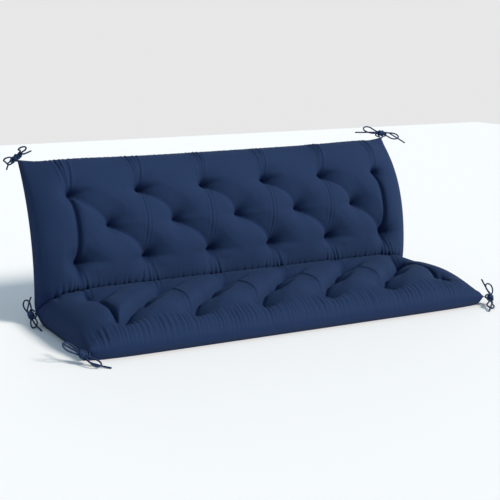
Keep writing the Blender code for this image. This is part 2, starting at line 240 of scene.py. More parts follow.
# %% Sizes of the outline
TOP_DRAWN_IN = 0.029
FRONT_DRAWN_IN = -0.021  # the front bulges out past its corners
TOP_BOW, FRONT_BOW = 4, 10  # the higher, the closer to its corners an edge runs straight
DRAWN_FROM = 4  # the higher, the nearer to the edge the drawing-in stays
END_SKEW = 0.005
BACK_SWAY = 0.003
CORNER_PULL, CORNER_POINT = 0.003, 12  # how far and how sharply the corners are pulled out
BACK_CREASE_BOW, SEAT_CREASE_BOW = 0.020, -0.010
END_CREASE_BOW = 0.009
INNER_FROM, INNER_OVER = 0.15, 0.6  # in tuft pitches, where the slanting creases' bow sets in
print("top edge drawn in by", TOP_DRAWN_IN * MILLIMETRES, "mm")


# %% Rows and halves of the pattern
def smooth_step(value):
    """0 below 0 and 1 above 1, with a soft start and end."""
    value = np.clip(value, 0, 1)
    return value * value * (3 - 2 * value)


def row_pitch(t):
    return np.where(t > 0, BACK_ROW_PITCH, SEAT_ROW_PITCH)


def half_length(t):
    """From the cross seam to the end seam of the half that t lies on."""
    return np.where(t > 0, BACK_LENGTH, SEAT_LENGTH)


def row_number(t):
    """Rows count 1, 2, 3 away from the cross seam on each half; the middle row is offset."""
    first = np.where(t > 0, BEND_TO_BACK_ROW, BEND_TO_SEAT_ROW)
    return 1 + (np.abs(t) - first) / row_pitch(t)


print("the front row is number", round(float(row_number(FRONT_ROW))))


# %% The outline, drawn in
def outline(x, t):
    """Where a point of the flat pattern lies once the filling has drawn the outline in."""
    across = np.abs(x) / (WIDTH / 2)
    length = half_length(t)
    along = np.abs(t) / length
    tufted = np.clip(row_number(t), 1, LAST_ROW) - 1
    slanting = np.where(t > 0, BACK_CREASE_BOW, SEAT_CREASE_BOW) * np.abs(np.sin(math.pi * tufted))
    upright = END_CREASE_BOW * np.sin(math.pi * tufted / 2)
    inner = smooth_step((LAST_COLUMN - INNER_FROM - np.abs(x) / TUFT_PITCH) / INNER_OVER)
    to_seam = smooth_step((WIDTH / 2 - np.abs(x)) / (WIDTH / 2 - LAST_COLUMN * TUFT_PITCH))
    x = x + slanting * inner + upright * (1 - inner) * to_seam
    bow = 1 - np.where(t > 0, across**TOP_BOW, across**FRONT_BOW)
    drawn_in = np.where(t > 0, TOP_DRAWN_IN, FRONT_DRAWN_IN) * bow * along**DRAWN_FROM
    skew = END_SKEW * along**DRAWN_FROM * x / (WIDTH / 2)
    corner = (across * along) ** CORNER_POINT
    t = t * (1 - (drawn_in - skew - CORNER_PULL * corner) / length)
    return x + np.where(t > 0, BACK_SWAY * along**2, 0.0), t


def place(x, t, offset):
    """Points of the pad in the frame, offset from the seam's level towards the sitter."""
    x, t = outline(x, t)
    y, z, turn = side_view(t)
    y = y - offset * np.sin(turn)
    z = np.maximum(z + offset * np.cos(turn), 0.0)
    return np.stack([x, y, z], -1)


print("top right corner at", np.round(place(WIDTH / 2, BACK_LENGTH, 0.0), 3))

# %% [markdown]
# ## The tufts
# A tuft is a few stitches right through the pad that pull both panels together, here without a
# button. Each could be a point dragged in by hand. Since they stand in a regular grid, rows of
# 6, 5 and 6 on both halves, they are worked out, and most of the later steps ask how far a
# place is from the nearest one.

# %% Places of the tufts
COLUMNS_OF_SIX = np.arange(6) - LAST_COLUMN
COLUMNS_OF_FIVE = np.arange(-2, 3)


def tuft_places():
    """The tufts on the pattern, as (x, t)."""
    tufts = []
    halves = ((1, BEND_TO_BACK_ROW, BACK_ROW_PITCH), (-1, BEND_TO_SEAT_ROW, SEAT_ROW_PITCH))
    for way, first, pitch in halves:
        for row, tuft_columns in enumerate((COLUMNS_OF_SIX, COLUMNS_OF_FIVE, COLUMNS_OF_SIX)):
            tufts += [(column * TUFT_PITCH, way * (first + row * pitch)) for column in tuft_columns]
    return np.array(tufts)


TUFTS = tuft_places()
print(len(TUFTS), "tufts")


def tuft_distance(x, t, steep=1.0, gentle=1.0):
    """Metres on the pattern to the nearest tuft; steep stretches its left, gentle its right."""
    away = np.full(np.shape(x), WIDTH)
    for tuft_x, tuft_t in TUFTS:
        ahead = x - tuft_x
        ahead = np.where(ahead > 0, ahead * gentle, ahead * steep)
        away = np.minimum(away, np.hypot(ahead, t - tuft_t))
    return away


# %% [markdown]
# ## The creases
# Between two tufts the cloth folds into a crease. On the real cushion the creases that slope
# down to the right on the back are deep, with one pillow lapping over the next, and those that
# slope the other way are faint. They could be cut into the mesh as edges, but a formula of the
# distance from the line between two tufts gives each side of a crease its own steepness.

# %% Sizes of the creases
BACK_CREASES = (0.022, 0.003)  # deep and faint
SEAT_CREASES = (0.046, 0.001)
END_CREASES = (0.024, 0.029)  # of the back and of the seat, upright through the outer tufts
LAP_WIDTH = 0.010  # the steep side of a deep crease, under the pillow that laps over it
OPEN_WIDTH = 0.042  # its gentle side
SOFT_WIDTH = 0.026  # both sides of a faint crease
END_LAP_WIDTH, END_OPEN_WIDTH = 0.009, 0.011
FADE_IN = 0.14  # rows over which a crease grows before the first tufts
CREASE_END = 0.12  # rows and tuft pitches over which it fades out past the outer tufts
SEAT_OPEN_END = 0.40  # the same on the gentle side of the seat's deep creases
MIDWAY_FADE = 0.25  # tuft pitches from halfway between two creases
END_CREASE_RISE = (0.3, 0.7)  # the end creases start at this row and are full so much later
END_CREASE_FALL = (0.15, 0.25)  # they end so far past the last row, and fall over so much
print("deep creases", BACK_CREASES[0], "and", SEAT_CREASES[0], "m")


# %% One crease in section
def wrapped(value):
    """The signed distance to the nearest whole number."""
    return value - np.round(value)


def crease_slope(t):
    """Metres square to a slanting crease for each tuft pitch along the row."""
    return TUFT_PITCH * row_pitch(t) / np.hypot(row_pitch(t), TUFT_PITCH / 2)


def fold_profile(offset, lap, opening):
    """A crease in section: sharp in the middle, steep on its negative side."""
    width = np.where(offset < 0, lap, opening)
    return np.exp(-np.abs(offset) / width)


def slanting_crease(depth, away, t, lap, opening):
    """A crease that is away tuft pitches off, faded out halfway to the next one."""
    section = depth * fold_profile(away * crease_slope(t), lap, opening)
    return section * smooth_step((0.5 - np.abs(away)) / MIDWAY_FADE)


sides = [round(float(fold_profile(side, LAP_WIDTH, OPEN_WIDTH)), 2) for side in (-0.01, 0.01)]
print("10 mm to both sides of its bottom a crease has", sides, "of its depth")


# %% Depth of the creases
def crease_field(x, t):
    """How deep the creases between the tufts draw the surface in."""
    column = x / TUFT_PITCH
    row = row_number(t)
    between_rows = np.clip(row, 1, LAST_ROW)  # past the outer rows each crease runs on straight
    lapped = wrapped(column + between_rows / 2)
    faint = wrapped(column - between_rows / 2)
    open_end = np.where((t < 0) & (lapped > 0), SEAT_OPEN_END, CREASE_END)
    fade = smooth_step((row - (1 - FADE_IN)) / FADE_IN)
    fade = fade * smooth_step((LAST_COLUMN + CREASE_END - np.abs(column)) / CREASE_END)
    fade = fade * smooth_step((LAST_ROW + open_end - row) / open_end)
    deep, slight = (np.where(t > 0, back, seat) for back, seat in zip(BACK_CREASES, SEAT_CREASES))
    strong = slanting_crease(deep, lapped, t, LAP_WIDTH, OPEN_WIDTH)
    weak = slanting_crease(slight, faint, t, SOFT_WIDTH, SOFT_WIDTH)
    depth = fade * np.maximum(strong, weak)
    rise = smooth_step((row - END_CREASE_RISE[0]) / END_CREASE_RISE[1])
    fall = smooth_step((LAST_ROW + END_CREASE_FALL[0] - row) / END_CREASE_FALL[1])
    for end in (-LAST_COLUMN, LAST_COLUMN):
        offset = (column - end) * TUFT_PITCH
        end_depth = np.where(t > 0, *END_CREASES) * (rise * fall)
        depth = np.maximum(depth, end_depth * fold_profile(offset, END_LAP_WIDTH, END_OPEN_WIDTH))
    return depth


end_crease = crease_field(LAST_COLUMN * TUFT_PITCH, FRONT_ROW + SEAT_ROW_PITCH)
print("end crease of the seat", round(float(end_crease) * MILLIMETRES), "mm deep")

# %% [markdown]
# ## The bend
# At the cross seam the two filled halves press on each other. Left alone, their crowns would
# pass through each other there, which no real cushion can. A collision could push them apart,
# but the plane that halves the bend is known, so each half simply stops there.

# %% Room at the bend
BEND_CROWN_INSIDE = 0.030
BEND_CROWN_OUTSIDE = 0.016
FOLD_GAP = 0.0008  # each half stops this far short of the plane where they meet at the bend
FLATTEST = 0.05  # the least slope at which a point counts as moving towards that plane


def fold_room(t):
    """How far the inner face may stand off before it meets the other half at the bend."""
    half_turn = BEND_TURN / 2
    at_bend = BEND_RADIUS - FOLD_GAP / math.sin(half_turn)
    inside = BEND_CROWN_INSIDE + (at_bend - BEND_CROWN_INSIDE) * np.abs(t) / HALF_BEND
    y, z, turn = side_view(t)
    above = z - SEAM_LEVEL - BEND_RADIUS
    away = (y - BEND_CENTRE_Y) * math.cos(half_turn) + above * math.sin(half_turn)
    toward = np.maximum(np.abs(np.sin(half_turn - turn)), FLATTEST)
    return np.where(np.abs(t) <= HALF_BEND, inside, (np.abs(away) - FOLD_GAP) / toward)


def kept_apart(points, t):
    """Moves points of the seat and of the back off the plane where the two halves meet."""
    across = np.array([0.0, math.cos(BEND_TURN / 2), math.sin(BEND_TURN / 2)])
    centre = np.array([0.0, BEND_CENTRE_Y, SEAM_LEVEL + BEND_RADIUS])
    gap = FOLD_GAP * np.minimum(np.abs(t) / HALF_BEND, 1)
    short = np.maximum(gap - (points - centre) @ across * np.sign(t), 0) * np.sign(t)
    return points + short[..., None] * across


room = round(float(fold_room(-0.1)) * MILLIMETRES)
print("room on the seat 100 mm from the bend", room, "mm")

# %% [markdown]
# ## The crown
# The filling pushes both panels out, most in the middle and not at all at the seams. An
# inflated box would do for a plain pad. This one also has a roll along its front, thin pulled-out
# corners and 34 tufts, so how far each face stands off the seam's level is worked out at every
# place of the pattern, as the photograph shows it.

# %% Sizes of the crown, each for the seat and for the back
CROWN_TOP = (0.087, 0.092)
CROWN_UNDER = (0.045, 0.034)
EAR_REACH = (0.080, 0.135)  # how far in from a corner's point the pad is thin
TUFT_DEPTH = (0.042, 0.046)
CREASE_UNDER = (0.25, 0.8)  # how much of each crease shows on the other face
HALVES_BLEND = (0.05, 0.10)  # the seat's sizes turn into the back's across the cross seam

BEND_REACH = 0.080  # from these distances to the bend and the seams the crown is full
SIDE_REACH = 0.145
END_REACH = 0.110
UNDER_REACH = 0.055
EDGE_ROUNDNESS = 2.1
HIP = 0.6  # how sharply the seat's corners are creased from their points inwards
EAR_FLATNESS = 0.6  # the corners are pulled out thin, like ears
FRONT_ROLL = -0.010  # how much lower than the crown the seat's front roll is
SEAT_SWELL = 0.014  # how much higher the middle of the seat stands
SWELL_FROM, SWELL_OVER = 0.07, 0.10  # from the front seam
SWELL_ROUNDNESS = 4

TUFT_RADIUS = 0.027
TUFT_STEEPNESS = 1.25
TUFT_LEFT, TUFT_RIGHT = 1.15, 0.80  # a tuft's hollow is shorter on its left than on its right
TUFT_DEPTH_UNDER = 0.014
NOTCH_DEPTH = 0.9  # share of a front tuft's pull that runs on into the roll before it
NOTCH_WIDTH, NOTCH_LENGTH = 0.022, 0.03
print("crowns", CROWN_TOP, "above and", CROWN_UNDER, "below")


# %% Rounded edges and thin corners
def rounded(distance, reach):
    """0 at a seam, rising steeply like a rounded edge to 1 at reach."""
    inward = 1 - np.clip(distance / reach, 0, 1)
    return (1 - inward**EDGE_ROUNDNESS) ** (1 / EDGE_ROUNDNESS)


def blended(sizes, on_back):
    """The seat's size turning into the back's."""
    seat, back = sizes
    return seat + (back - seat) * on_back


def edge_rise(side, end, on_back):
    """0 at the outer seams and 1 inside, with the seat's hips and the thin corners."""
    edge = rounded(side, SIDE_REACH) * rounded(end, END_REACH)
    hip = np.minimum(rounded(side, SIDE_REACH), rounded(end, END_REACH)) - edge
    edge = edge + HIP * hip * (1 - on_back)
    ear_reach = blended(EAR_REACH, on_back)
    return edge * (1 - EAR_FLATNESS * np.exp(-((side**2 + end**2) / ear_reach**2)))


rises = [round(float(edge_rise(inward, inward, 1.0)), 2) for inward in (0.02, 0.05, 0.10)]
print("20, 50 and 100 mm in from a corner of the back the crown has", rises, "of its height")


# %% How the tufts pull
def tuft_pull(x, t):
    """How much of their full depth the tufts draw each place in, with the front row's notches."""
    away = tuft_distance(x, t, TUFT_LEFT, TUFT_RIGHT)
    pull = np.exp(-((away / TUFT_RADIUS) ** TUFT_STEEPNESS))
    before_front = np.clip((FRONT_ROW - t) / NOTCH_LENGTH, 0, None)
    nearest = wrapped(x / TUFT_PITCH + 0.5) * TUFT_PITCH / NOTCH_WIDTH
    notch = NOTCH_DEPTH * np.exp(-(nearest**2)) * np.exp(-before_front) * (t < FRONT_ROW)
    return np.maximum(pull, notch)


print("pull at a tuft", round(float(tuft_pull(*TUFTS[0])), 2))


# %% The crown at every place of the pattern
def stand_off(x, t):
    """How far the two faces stand off the seam's level at points of the flat pattern."""
    on_back = smooth_step((t + HALVES_BLEND[0]) / HALVES_BLEND[1])
    end = half_length(t) - np.abs(t)
    side = WIDTH / 2 - np.abs(x)
    edge = edge_rise(side, end, on_back)
    pressed = rounded(side, UNDER_REACH) * rounded(end, UNDER_REACH)
    from_bend = rounded(np.abs(t), BEND_REACH)
    top = BEND_CROWN_INSIDE + (blended(CROWN_TOP, on_back) - BEND_CROWN_INSIDE) * from_bend
    under = blended(CROWN_UNDER, on_back) - BEND_CROWN_OUTSIDE
    under = BEND_CROWN_OUTSIDE + under * from_bend
    drawn = crease_field(x, t) * from_bend
    pull = tuft_pull(x, t)
    middle = (1 - on_back) * (1 - (np.abs(x) * 2 / WIDTH) ** SWELL_ROUNDNESS) * from_bend
    swell = smooth_step((end - SWELL_FROM) / SWELL_OVER)
    top = top + (FRONT_ROLL + (SEAT_SWELL - FRONT_ROLL) * swell) * middle
    top = top - drawn - blended(TUFT_DEPTH, on_back) * pull
    under = under - drawn * blended(CREASE_UNDER, on_back) - TUFT_DEPTH_UNDER * pull
    return np.minimum(top * edge, fold_room(t)), under * (pressed + (edge - pressed) * on_back)


print("crown in the middle of the seat", np.round(stand_off(0.0, FRONT_ROW / 2), 3))

# %% [markdown]
# ## A grid of cloth for the solver
# The two panels become one closed mesh of small squares, about 9 mm wide, that share the points
# of the outer seam. A remeshed lump would have its points anywhere. Here the grid lines run
# through the tufts, so each tuft has a point of its own, and the creases run through corners.

# %% Grid of the two panels
COLUMN_STEPS = 24  # squares to a tuft pitch, so that the slanting creases run through points
ROW_STEPS = 12  # squares to a row pitch
MARGIN_STEP = 0.0145  # length of the squares outside the tufted rows, where folds run upright


def spread(start, stop, step):
    """Evenly spaced grid lines from start up to, but without, stop."""
    count = max(1, round(abs(stop - start) / step))
    return list(np.linspace(start, stop, count, endpoint=False))


def grid_lines():
    """Grid lines across and along that pass through every tuft."""
    step = TUFT_PITCH / COLUMN_STEPS
    tufted = LAST_COLUMN * TUFT_PITCH
    columns = spread(-WIDTH / 2, -tufted, step) + spread(-tufted, tufted, step)
    columns += spread(tufted, WIDTH / 2, step) + [WIDTH / 2]
    rows = []
    marks = (
        -SEAT_LENGTH, FRONT_ROW, FRONT_ROW + SEAT_ROW_PITCH, -BEND_TO_SEAT_ROW, 0.0,
        BEND_TO_BACK_ROW, TOP_ROW - BACK_ROW_PITCH, TOP_ROW, BACK_LENGTH,
    )
    for start, stop in zip(marks, marks[1:]):
        between_rows = stop - start < 1.01 * SEAT_ROW_PITCH and start != -SEAT_LENGTH
        rows += spread(start, stop, SEAT_ROW_PITCH / ROW_STEPS if between_rows else MARGIN_STEP)
    return np.array(columns), np.array(rows + [BACK_LENGTH])


columns, rows = grid_lines()
grid_x, grid_t = np.meshgrid(columns, rows)
top_offset, under_offset = stand_off(grid_x, grid_t)
top_start = place(grid_x, grid_t, top_offset)
under_start = place(grid_x, grid_t, -under_offset)
print("grid of", grid_x.shape[1], "by", grid_x.shape[0], "points on each panel")


# %% Both panels as one closed mesh
def closed_mesh(top_points, under_points):
    """Points and faces of both panels, sharing the outer seam, and both panels' indices."""
    top_index = np.arange(grid_x.size).reshape(grid_x.shape)
    inner = np.zeros_like(top_index, bool)
    inner[1:-1, 1:-1] = True
    under_index = top_index.copy()
    under_index[inner] = top_index.size + np.arange(inner.sum())
    points = np.concatenate([top_points.reshape(-1, 3), under_points[inner]])
    faces = []
    for index, way in ((top_index, 1), (under_index, -1)):
        ring = np.stack([index[:-1, :-1], index[:-1, 1:], index[1:, 1:], index[1:, :-1]], -1)
        faces.append(ring.reshape(-1, 4)[:, ::way])
    return points, np.concatenate(faces), top_index, under_index


start, faces, top_index, under_index = closed_mesh(top_start, under_start)
print("closed mesh of", len(start), "points", len(faces), "squares")


# %% A Blender object from points and faces
def mesh_object(name, points, faces, pattern=None):
    """A smooth mesh; pattern gives every face corner its place on the flat cloth, in metres."""
    mesh = bpy.data.meshes.new(name)
    mesh.from_pydata(np.asarray(points).tolist(), [], [list(map(int, face)) for face in faces])
    mesh.shade_smooth()
    if pattern is not None:
        flat = mesh.uv_layers.new(name="pattern")
        flat.data.foreach_set("uv", np.asarray(pattern, np.float32).ravel())
    piece = bpy.data.objects.new(name, mesh)
    bpy.context.scene.collection.objects.link(piece)
    return piece


pad = mesh_object("pad_cloth", start, faces)
print("made", pad.name)

# %% [markdown]
# ## Holding the cloth
# A sewer holds a pad by its seams and tufts while the filling pushes the rest out. The solver
# could be left to find the whole shape, but it would blow the creases open. So each point gets
# a hold from 0, free, to 1, fixed: the seams, the tufts and the flat underside stay put, the
# bottoms of the creases are held half, and the open cloth hardly at all.

# %% Sizes of the holds
OPEN_HOLD, UNDER_HOLD = 0.03, 0.1  # on the open cloth of the upper and of the rear panel
CREASE_HOLD = 0.45
CREASE_HELD = (0.55, 0.4)  # from this share of a crease's depth, and full so much deeper
BEND_HOLD = 0.5
# Each of these is a distance in metres where a hold sets in, and the way over which it grows.
NEAR_BEND, AT_BEND = (0.10, 0.06), (0.034, 0.020)
NEAR_END_SEAM, NEAR_TUFT = (0.045, 0.020), (0.020, 0.012)
TUFT_FIXED = 0.007
ON_FLOOR = 0.0015
print("a crease is held", CREASE_HOLD, "and the open cloth", OPEN_HOLD)


# %% What holds each point
def nearness(distance, reach):
    """0 as far away as reach[0], rising to 1 over reach[1]."""
    return smooth_step((reach[0] - distance) / reach[1])


held = np.zeros(len(start))
crease = crease_field(grid_x, grid_t) / np.where(grid_t > 0, BACK_CREASES[0], SEAT_CREASES[0])
hold_top = OPEN_HOLD + CREASE_HOLD * smooth_step((crease - CREASE_HELD[0]) / CREASE_HELD[1])
from_tuft = tuft_distance(grid_x, grid_t)
for hold, distance, reach in (
    (BEND_HOLD, np.abs(grid_t), NEAR_BEND),
    (1.0, np.abs(grid_t), AT_BEND),
    (1.0, half_length(grid_t) - np.abs(grid_t), NEAR_END_SEAM),
    (1.0, from_tuft, NEAR_TUFT),
):
    hold_top = np.maximum(hold_top, hold * nearness(distance, reach))
held[top_index] = hold_top
flat_under = (start[under_index, 2] < ON_FLOOR) | (grid_t < 0)
held[under_index] = np.where(flat_under, 1.0, UNDER_HOLD)
on_seam = np.zeros(grid_x.shape, bool)
on_seam[[0, -1], :] = True
on_seam[:, [0, -1]] = True
held[top_index[on_seam]] = 1.0
held[top_index[from_tuft < TUFT_FIXED]] = 1.0
held[under_index[from_tuft < TUFT_FIXED]] = 1.0
print("fixed", int((held == 1).sum()), "of", len(held), "points")

# %% [markdown]
# ## Letting the cloth settle
# Folds could be sculpted by hand, but cloth finds better ones itself. The cloth is cut a little
# wider than the space it has, and the filling is air pressure from inside, so in 20 frames the
# spare width gathers into upright folds. Gravity is off, because the shape that was placed is
# already the shape at rest.

# %% Cloth and filling
SETTLE_FRAMES = 20
SPARE_CUT = (1.08, 1.02, 1.02)  # how much larger the cloth is cut, along x, y and z
PRESSURE = 5.0
CLOTH_MASS = 0.3
STRETCH_STIFFNESS = 30
SHEAR_STIFFNESS = 8
BENDING_STIFFNESS = 0.3
SOLVER_STEPS = 5
print("cut", SPARE_CUT, "times as large, filled to a pressure of", PRESSURE)


# %% The solver, held and filled
def hold_points(piece, held):
    """A vertex group with each point's hold, in steps of a hundredth."""
    group = piece.vertex_groups.new(name="held")
    steps = np.round(held, 2)
    for weight in np.unique(steps[steps > 0]):
        group.add([int(i) for i in np.nonzero(steps == weight)[0]], float(weight), "REPLACE")
    return group.name


def cut_larger(piece, placed):
    """A second shape of the piece: the size that its cloth is cut to."""
    piece.shape_key_add(name="as placed")
    larger = piece.shape_key_add(name="as cut")
    larger.data.foreach_set("co", (placed * np.array(SPARE_CUT)).ravel())
    larger.value = 0.0
    return larger


def cloth_solver(piece, group_name, cut):
    """The cloth modifier, filled with pressure and held by the group."""
    solver = piece.modifiers.new("settle", "CLOTH")
    cloth = solver.settings
    cloth.quality = SOLVER_STEPS
    cloth.mass = CLOTH_MASS
    cloth.tension_stiffness = STRETCH_STIFFNESS
    cloth.compression_stiffness = STRETCH_STIFFNESS
    cloth.shear_stiffness = SHEAR_STIFFNESS
    cloth.bending_stiffness = BENDING_STIFFNESS
    cloth.use_pressure = True
    cloth.uniform_pressure_force = PRESSURE
    cloth.vertex_group_mass = group_name
    cloth.rest_shape_key = cut
    cloth.effector_weights.gravity = 0
    solver.collision_settings.use_collision = False
    solver.point_cache.frame_start = 1
    solver.point_cache.frame_end = SETTLE_FRAMES
    return solver


print("solver runs", SETTLE_FRAMES, "frames of", SOLVER_STEPS, "steps")

# %% Running the solver
def settle(piece, placed, held):
    """Where the points of the piece come to rest, read back without the modifier."""
    solver = cloth_solver(piece, hold_points(piece, held), cut_larger(piece, placed))
    scene = bpy.context.scene
    for frame_number in range(1, SETTLE_FRAMES + 1):
        scene.frame_set(frame_number)
    shown = piece.evaluated_get(bpy.context.evaluated_depsgraph_get())
    rested = np.empty(len(held) * 3)
    shown.data.vertices.foreach_get("co", rested)
    scene.frame_set(1)
    piece.modifiers.remove(solver)
    piece.shape_key_clear()
    return rested.reshape(-1, 3)


settled = settle(pad, start, held)
moved = np.linalg.norm(settled - start, axis=1) * MILLIMETRES
settled[:, 2] = np.maximum(settled[:, 2], 0.0)
print("settled: moved", round(float(moved.mean()), 1), "mm, at most", round(float(moved.max()), 1))

# %% [markdown]
# ## Finer points for the panel that is sat on
# The solver is quick on 9 mm squares, but a gather is only 4 mm wide. A subdivision modifier
# would round the tufts off. The settled points are read back as two grids instead, and the
# panel that is sat on gets points in between on a smooth line that keeps the old ones.

# %% A finer grid
ACROSS_PARTS, ALONG_PARTS = 3, 2  # each square becomes six
TINY = 1e-12


def finer(grid, axis, parts):
    """Every step of the grid along an axis cut in parts, on a smooth line through its points."""
    grid = np.moveaxis(grid, axis, 0)
    ends = np.concatenate([2 * grid[:1] - grid[1:2], grid, 2 * grid[-1:] - grid[-2:-1]])
    result = np.empty((parts * (len(grid) - 1) + 1, *grid.shape[1:]))
    result[::parts] = grid
    for part in range(1, parts):
        u = part / parts
        weights = (
            -u * (1 - u) * (2 - u) / 6,
            (1 + u) * (1 - u) * (2 - u) / 2,
            (1 + u) * u * (2 - u) / 2,
            -(1 + u) * u * (1 - u) / 6,
        )
        count = len(grid) - 1
        result[part::parts] = sum(weight * ends[k : k + count] for k, weight in enumerate(weights))
    return np.moveaxis(result, 0, axis)


def finer_both(grid):
    return finer(finer(grid, 0, ALONG_PARTS), 1, ACROSS_PARTS)


top_grid = kept_apart(settled[top_index], grid_t)
under_grid = settled[under_index]
fine_x, fine_t = finer_both(grid_x), finer_both(grid_t)
fine_top = finer_both(top_grid)
print("fine panel", fine_top.shape[1], "by", fine_top.shape[0], "points")


def grid_normals(grid):
    """Unit normals of a grid of points, outwards for the panel that is sat on."""
    across = np.gradient(grid, axis=1)
    along = np.gradient(grid, axis=0)
    normal = np.cross(across, along)
    return normal / np.maximum(np.linalg.norm(normal, axis=-1, keepdims=True), TINY)


# %% [markdown]
# ## Gathers
# Where cloth is drawn in by a tuft or a seam, its spare width hangs in narrow pleats. They are
# too fine for the solver, and a bump would stay flat at the edges of the picture. So each pleat
# is a small valley with a low ridge on both sides, set along a line between two places, and all
# of them are pressed into the fine grid.

# %% One pleat
VALLEY_ENDS = 4  # in widths of the pleat, how far its valley and its ridges reach
RIDGE, RIDGE_AT = 0.45, 1.7  # height of the ridges beside a valley, and how far out they lie
WRINKLE_FADE = 0.1
pleat_x = outline(fine_x, fine_t)[0]
pleat_depth = np.zeros_like(fine_x)  # in metres, at every point of the fine grid


def press_pleat(top, foot, depth, width, bow=0.0, near=0.12, far=0.35):
    """A pleat from top to foot; near and far are the shares over which it fades in and out."""
    (x0, t0), (x1, t1) = top, foot
    share = (fine_t - t0) / (t1 - t0)
    inside = (share > 0) & (share < 1)
    centre = x0 + (x1 - x0) * share + 4 * bow * share * (1 - share)
    offset = (pleat_x - centre) / width
    inside &= np.abs(offset) < VALLEY_ENDS
    share, offset = share[inside], offset[inside]
    valley = np.exp(-(offset**2)) - RIDGE * np.exp(-((np.abs(offset) - RIDGE_AT) ** 2))
    ends = smooth_step(share / near) * smooth_step((1 - share) / far)
    pleat_depth[inside] += depth * valley * ends


def press_wrinkle(x, t, length, depth, width):
    """A short wrinkle from (x, t) to the right, deepest at its start."""
    share = (pleat_x - x) / length
    offset = (fine_t - t) / width
    inside = (share > 0) & (share < 1) & (np.abs(offset) < VALLEY_ENDS)
    share, offset = share[inside], offset[inside]
    fade = smooth_step(share / WRINKLE_FADE) * (1 - share)
    pleat_depth[inside] += depth * np.exp(-(offset**2)) * fade


print("room for pleats at", pleat_depth.size, "points")

# %% Fans and rows of pleats, each a little different by chance
PLEAT_SEED = 11
FAN_UNEVENNESS, ROW_UNEVENNESS = 0.12, 0.25
ROW_JITTER = (0.02, 0.004, 1.6, 0.5)  # of a pleat's top, foot, depth and width
SHALLOWEST = 0.2
SPACING_JITTER = (-0.5, 0.6)
pleat_chance = np.random.default_rng(PLEAT_SEED)


def press_fan(x, start_t, end_t, count, splay, depth, width, lean=0.0, **ends):
    """Pleats that spread from the tuft at x; splay is their half width at the top and foot."""
    for place_in_fan in np.linspace(-1, 1, count):
        aside, deeper, wider = pleat_chance.normal(0, FAN_UNEVENNESS, 3)
        top = (x + splay[0] * place_in_fan, start_t)
        foot = (x + lean + splay[1] * (place_in_fan + aside), end_t)
        press_pleat(top, foot, depth * (1 + deeper), width * (1 + wider), **ends)


def press_row(reach, pitch, start_t, end_t, depth, width, **ends):
    """Pleats at roughly even places along the bench, as far as reach on both sides."""
    x = -reach
    while x < reach:
        higher, aside, deeper, wider = ROW_JITTER * pleat_chance.normal(0, ROW_UNEVENNESS, 4)
        depth_here, width_here = depth * max(SHALLOWEST, 1 + deeper), width * (1 + wider)
        press_pleat((x, start_t + higher), (x + aside, end_t), depth_here, width_here, **ends)
        x += pitch * (1 + pleat_chance.uniform(*SPACING_JITTER))


print("pleats differ by chance from seed", PLEAT_SEED)

# %% Where the pleats lie, in metres on the pattern
FANS = (  # round each tuft of a row of six: up to the top seam, down to the bend, and the seat's
    dict(
        start_t=TOP_ROW + 0.004, end_t=BACK_LENGTH, count=4, splay=(0.007, 0.024),
        depth=0.0040, width=0.0036, near=0.25, far=0.25,
    ),
    dict(
        start_t=BEND_TO_BACK_ROW - 0.004, end_t=0.006, count=5, splay=(0.010, 0.045),
        depth=0.0050, width=0.0048, near=0.30, far=0.35,
    ),
    dict(
        start_t=FRONT_ROW - 0.003, end_t=-SEAT_LENGTH + 0.03, count=6, splay=(0.010, 0.040),
        depth=0.0034, width=0.0036, lean=0.018, near=0.30, far=0.60,
    ),
    dict(
        start_t=-BEND_TO_SEAT_ROW + 0.004, end_t=-0.006, count=5, splay=(0.010, 0.040),
        depth=0.0035, width=0.0050, near=0.30, far=0.35,
    ),
)
COLUMN_LINES = (  # from tuft to tuft of one column: x is to the right of the tufts
    dict(
        x=(0.002, -0.012), t=(TOP_ROW - 0.014, BEND_TO_BACK_ROW + 0.012),
        depth=0.0029, width=0.0034, bow=0.012,
    ),
    dict(
        x=(0.015, 0.001), t=(TOP_ROW - 0.014, BEND_TO_BACK_ROW + 0.012),
        depth=0.0018, width=0.0034, bow=0.012,
    ),
    dict(
        x=(0.004, 0.0), t=(FRONT_ROW + 0.006, -BEND_TO_SEAT_ROW - 0.01),
        depth=0.0048, width=0.0045, bow=0.014,
    ),
)
ROWS = (  # above the bend, down the front roll, before the bend and under the top seam
    dict(
        reach=0.70, pitch=0.024, start_t=0.112, end_t=0.006,
        depth=0.0040, width=0.0050, near=0.5, far=0.45,
    ),
    dict(
        reach=0.71, pitch=0.0125, start_t=FRONT_ROW - 0.016, end_t=-SEAT_LENGTH + 0.004,
        depth=0.0020, width=0.0038, near=0.35, far=0.16,
    ),
    dict(
        reach=0.70, pitch=0.030, start_t=-0.120, end_t=-0.006,
        depth=0.0036, width=0.0060, near=0.4, far=0.45,
    ),
    dict(
        reach=0.72, pitch=0.020, start_t=BACK_LENGTH - 0.040, end_t=BACK_LENGTH,
        depth=0.0012, width=0.0040, near=0.6, far=0.40,
    ),
)
TUFT_WRINKLE = dict(length=0.075, depth=0.0050, width=0.0040)
WRINKLE_START = 0.006
print(len(FANS), "fans at each column of tufts and", len(ROWS), "rows of pleats")

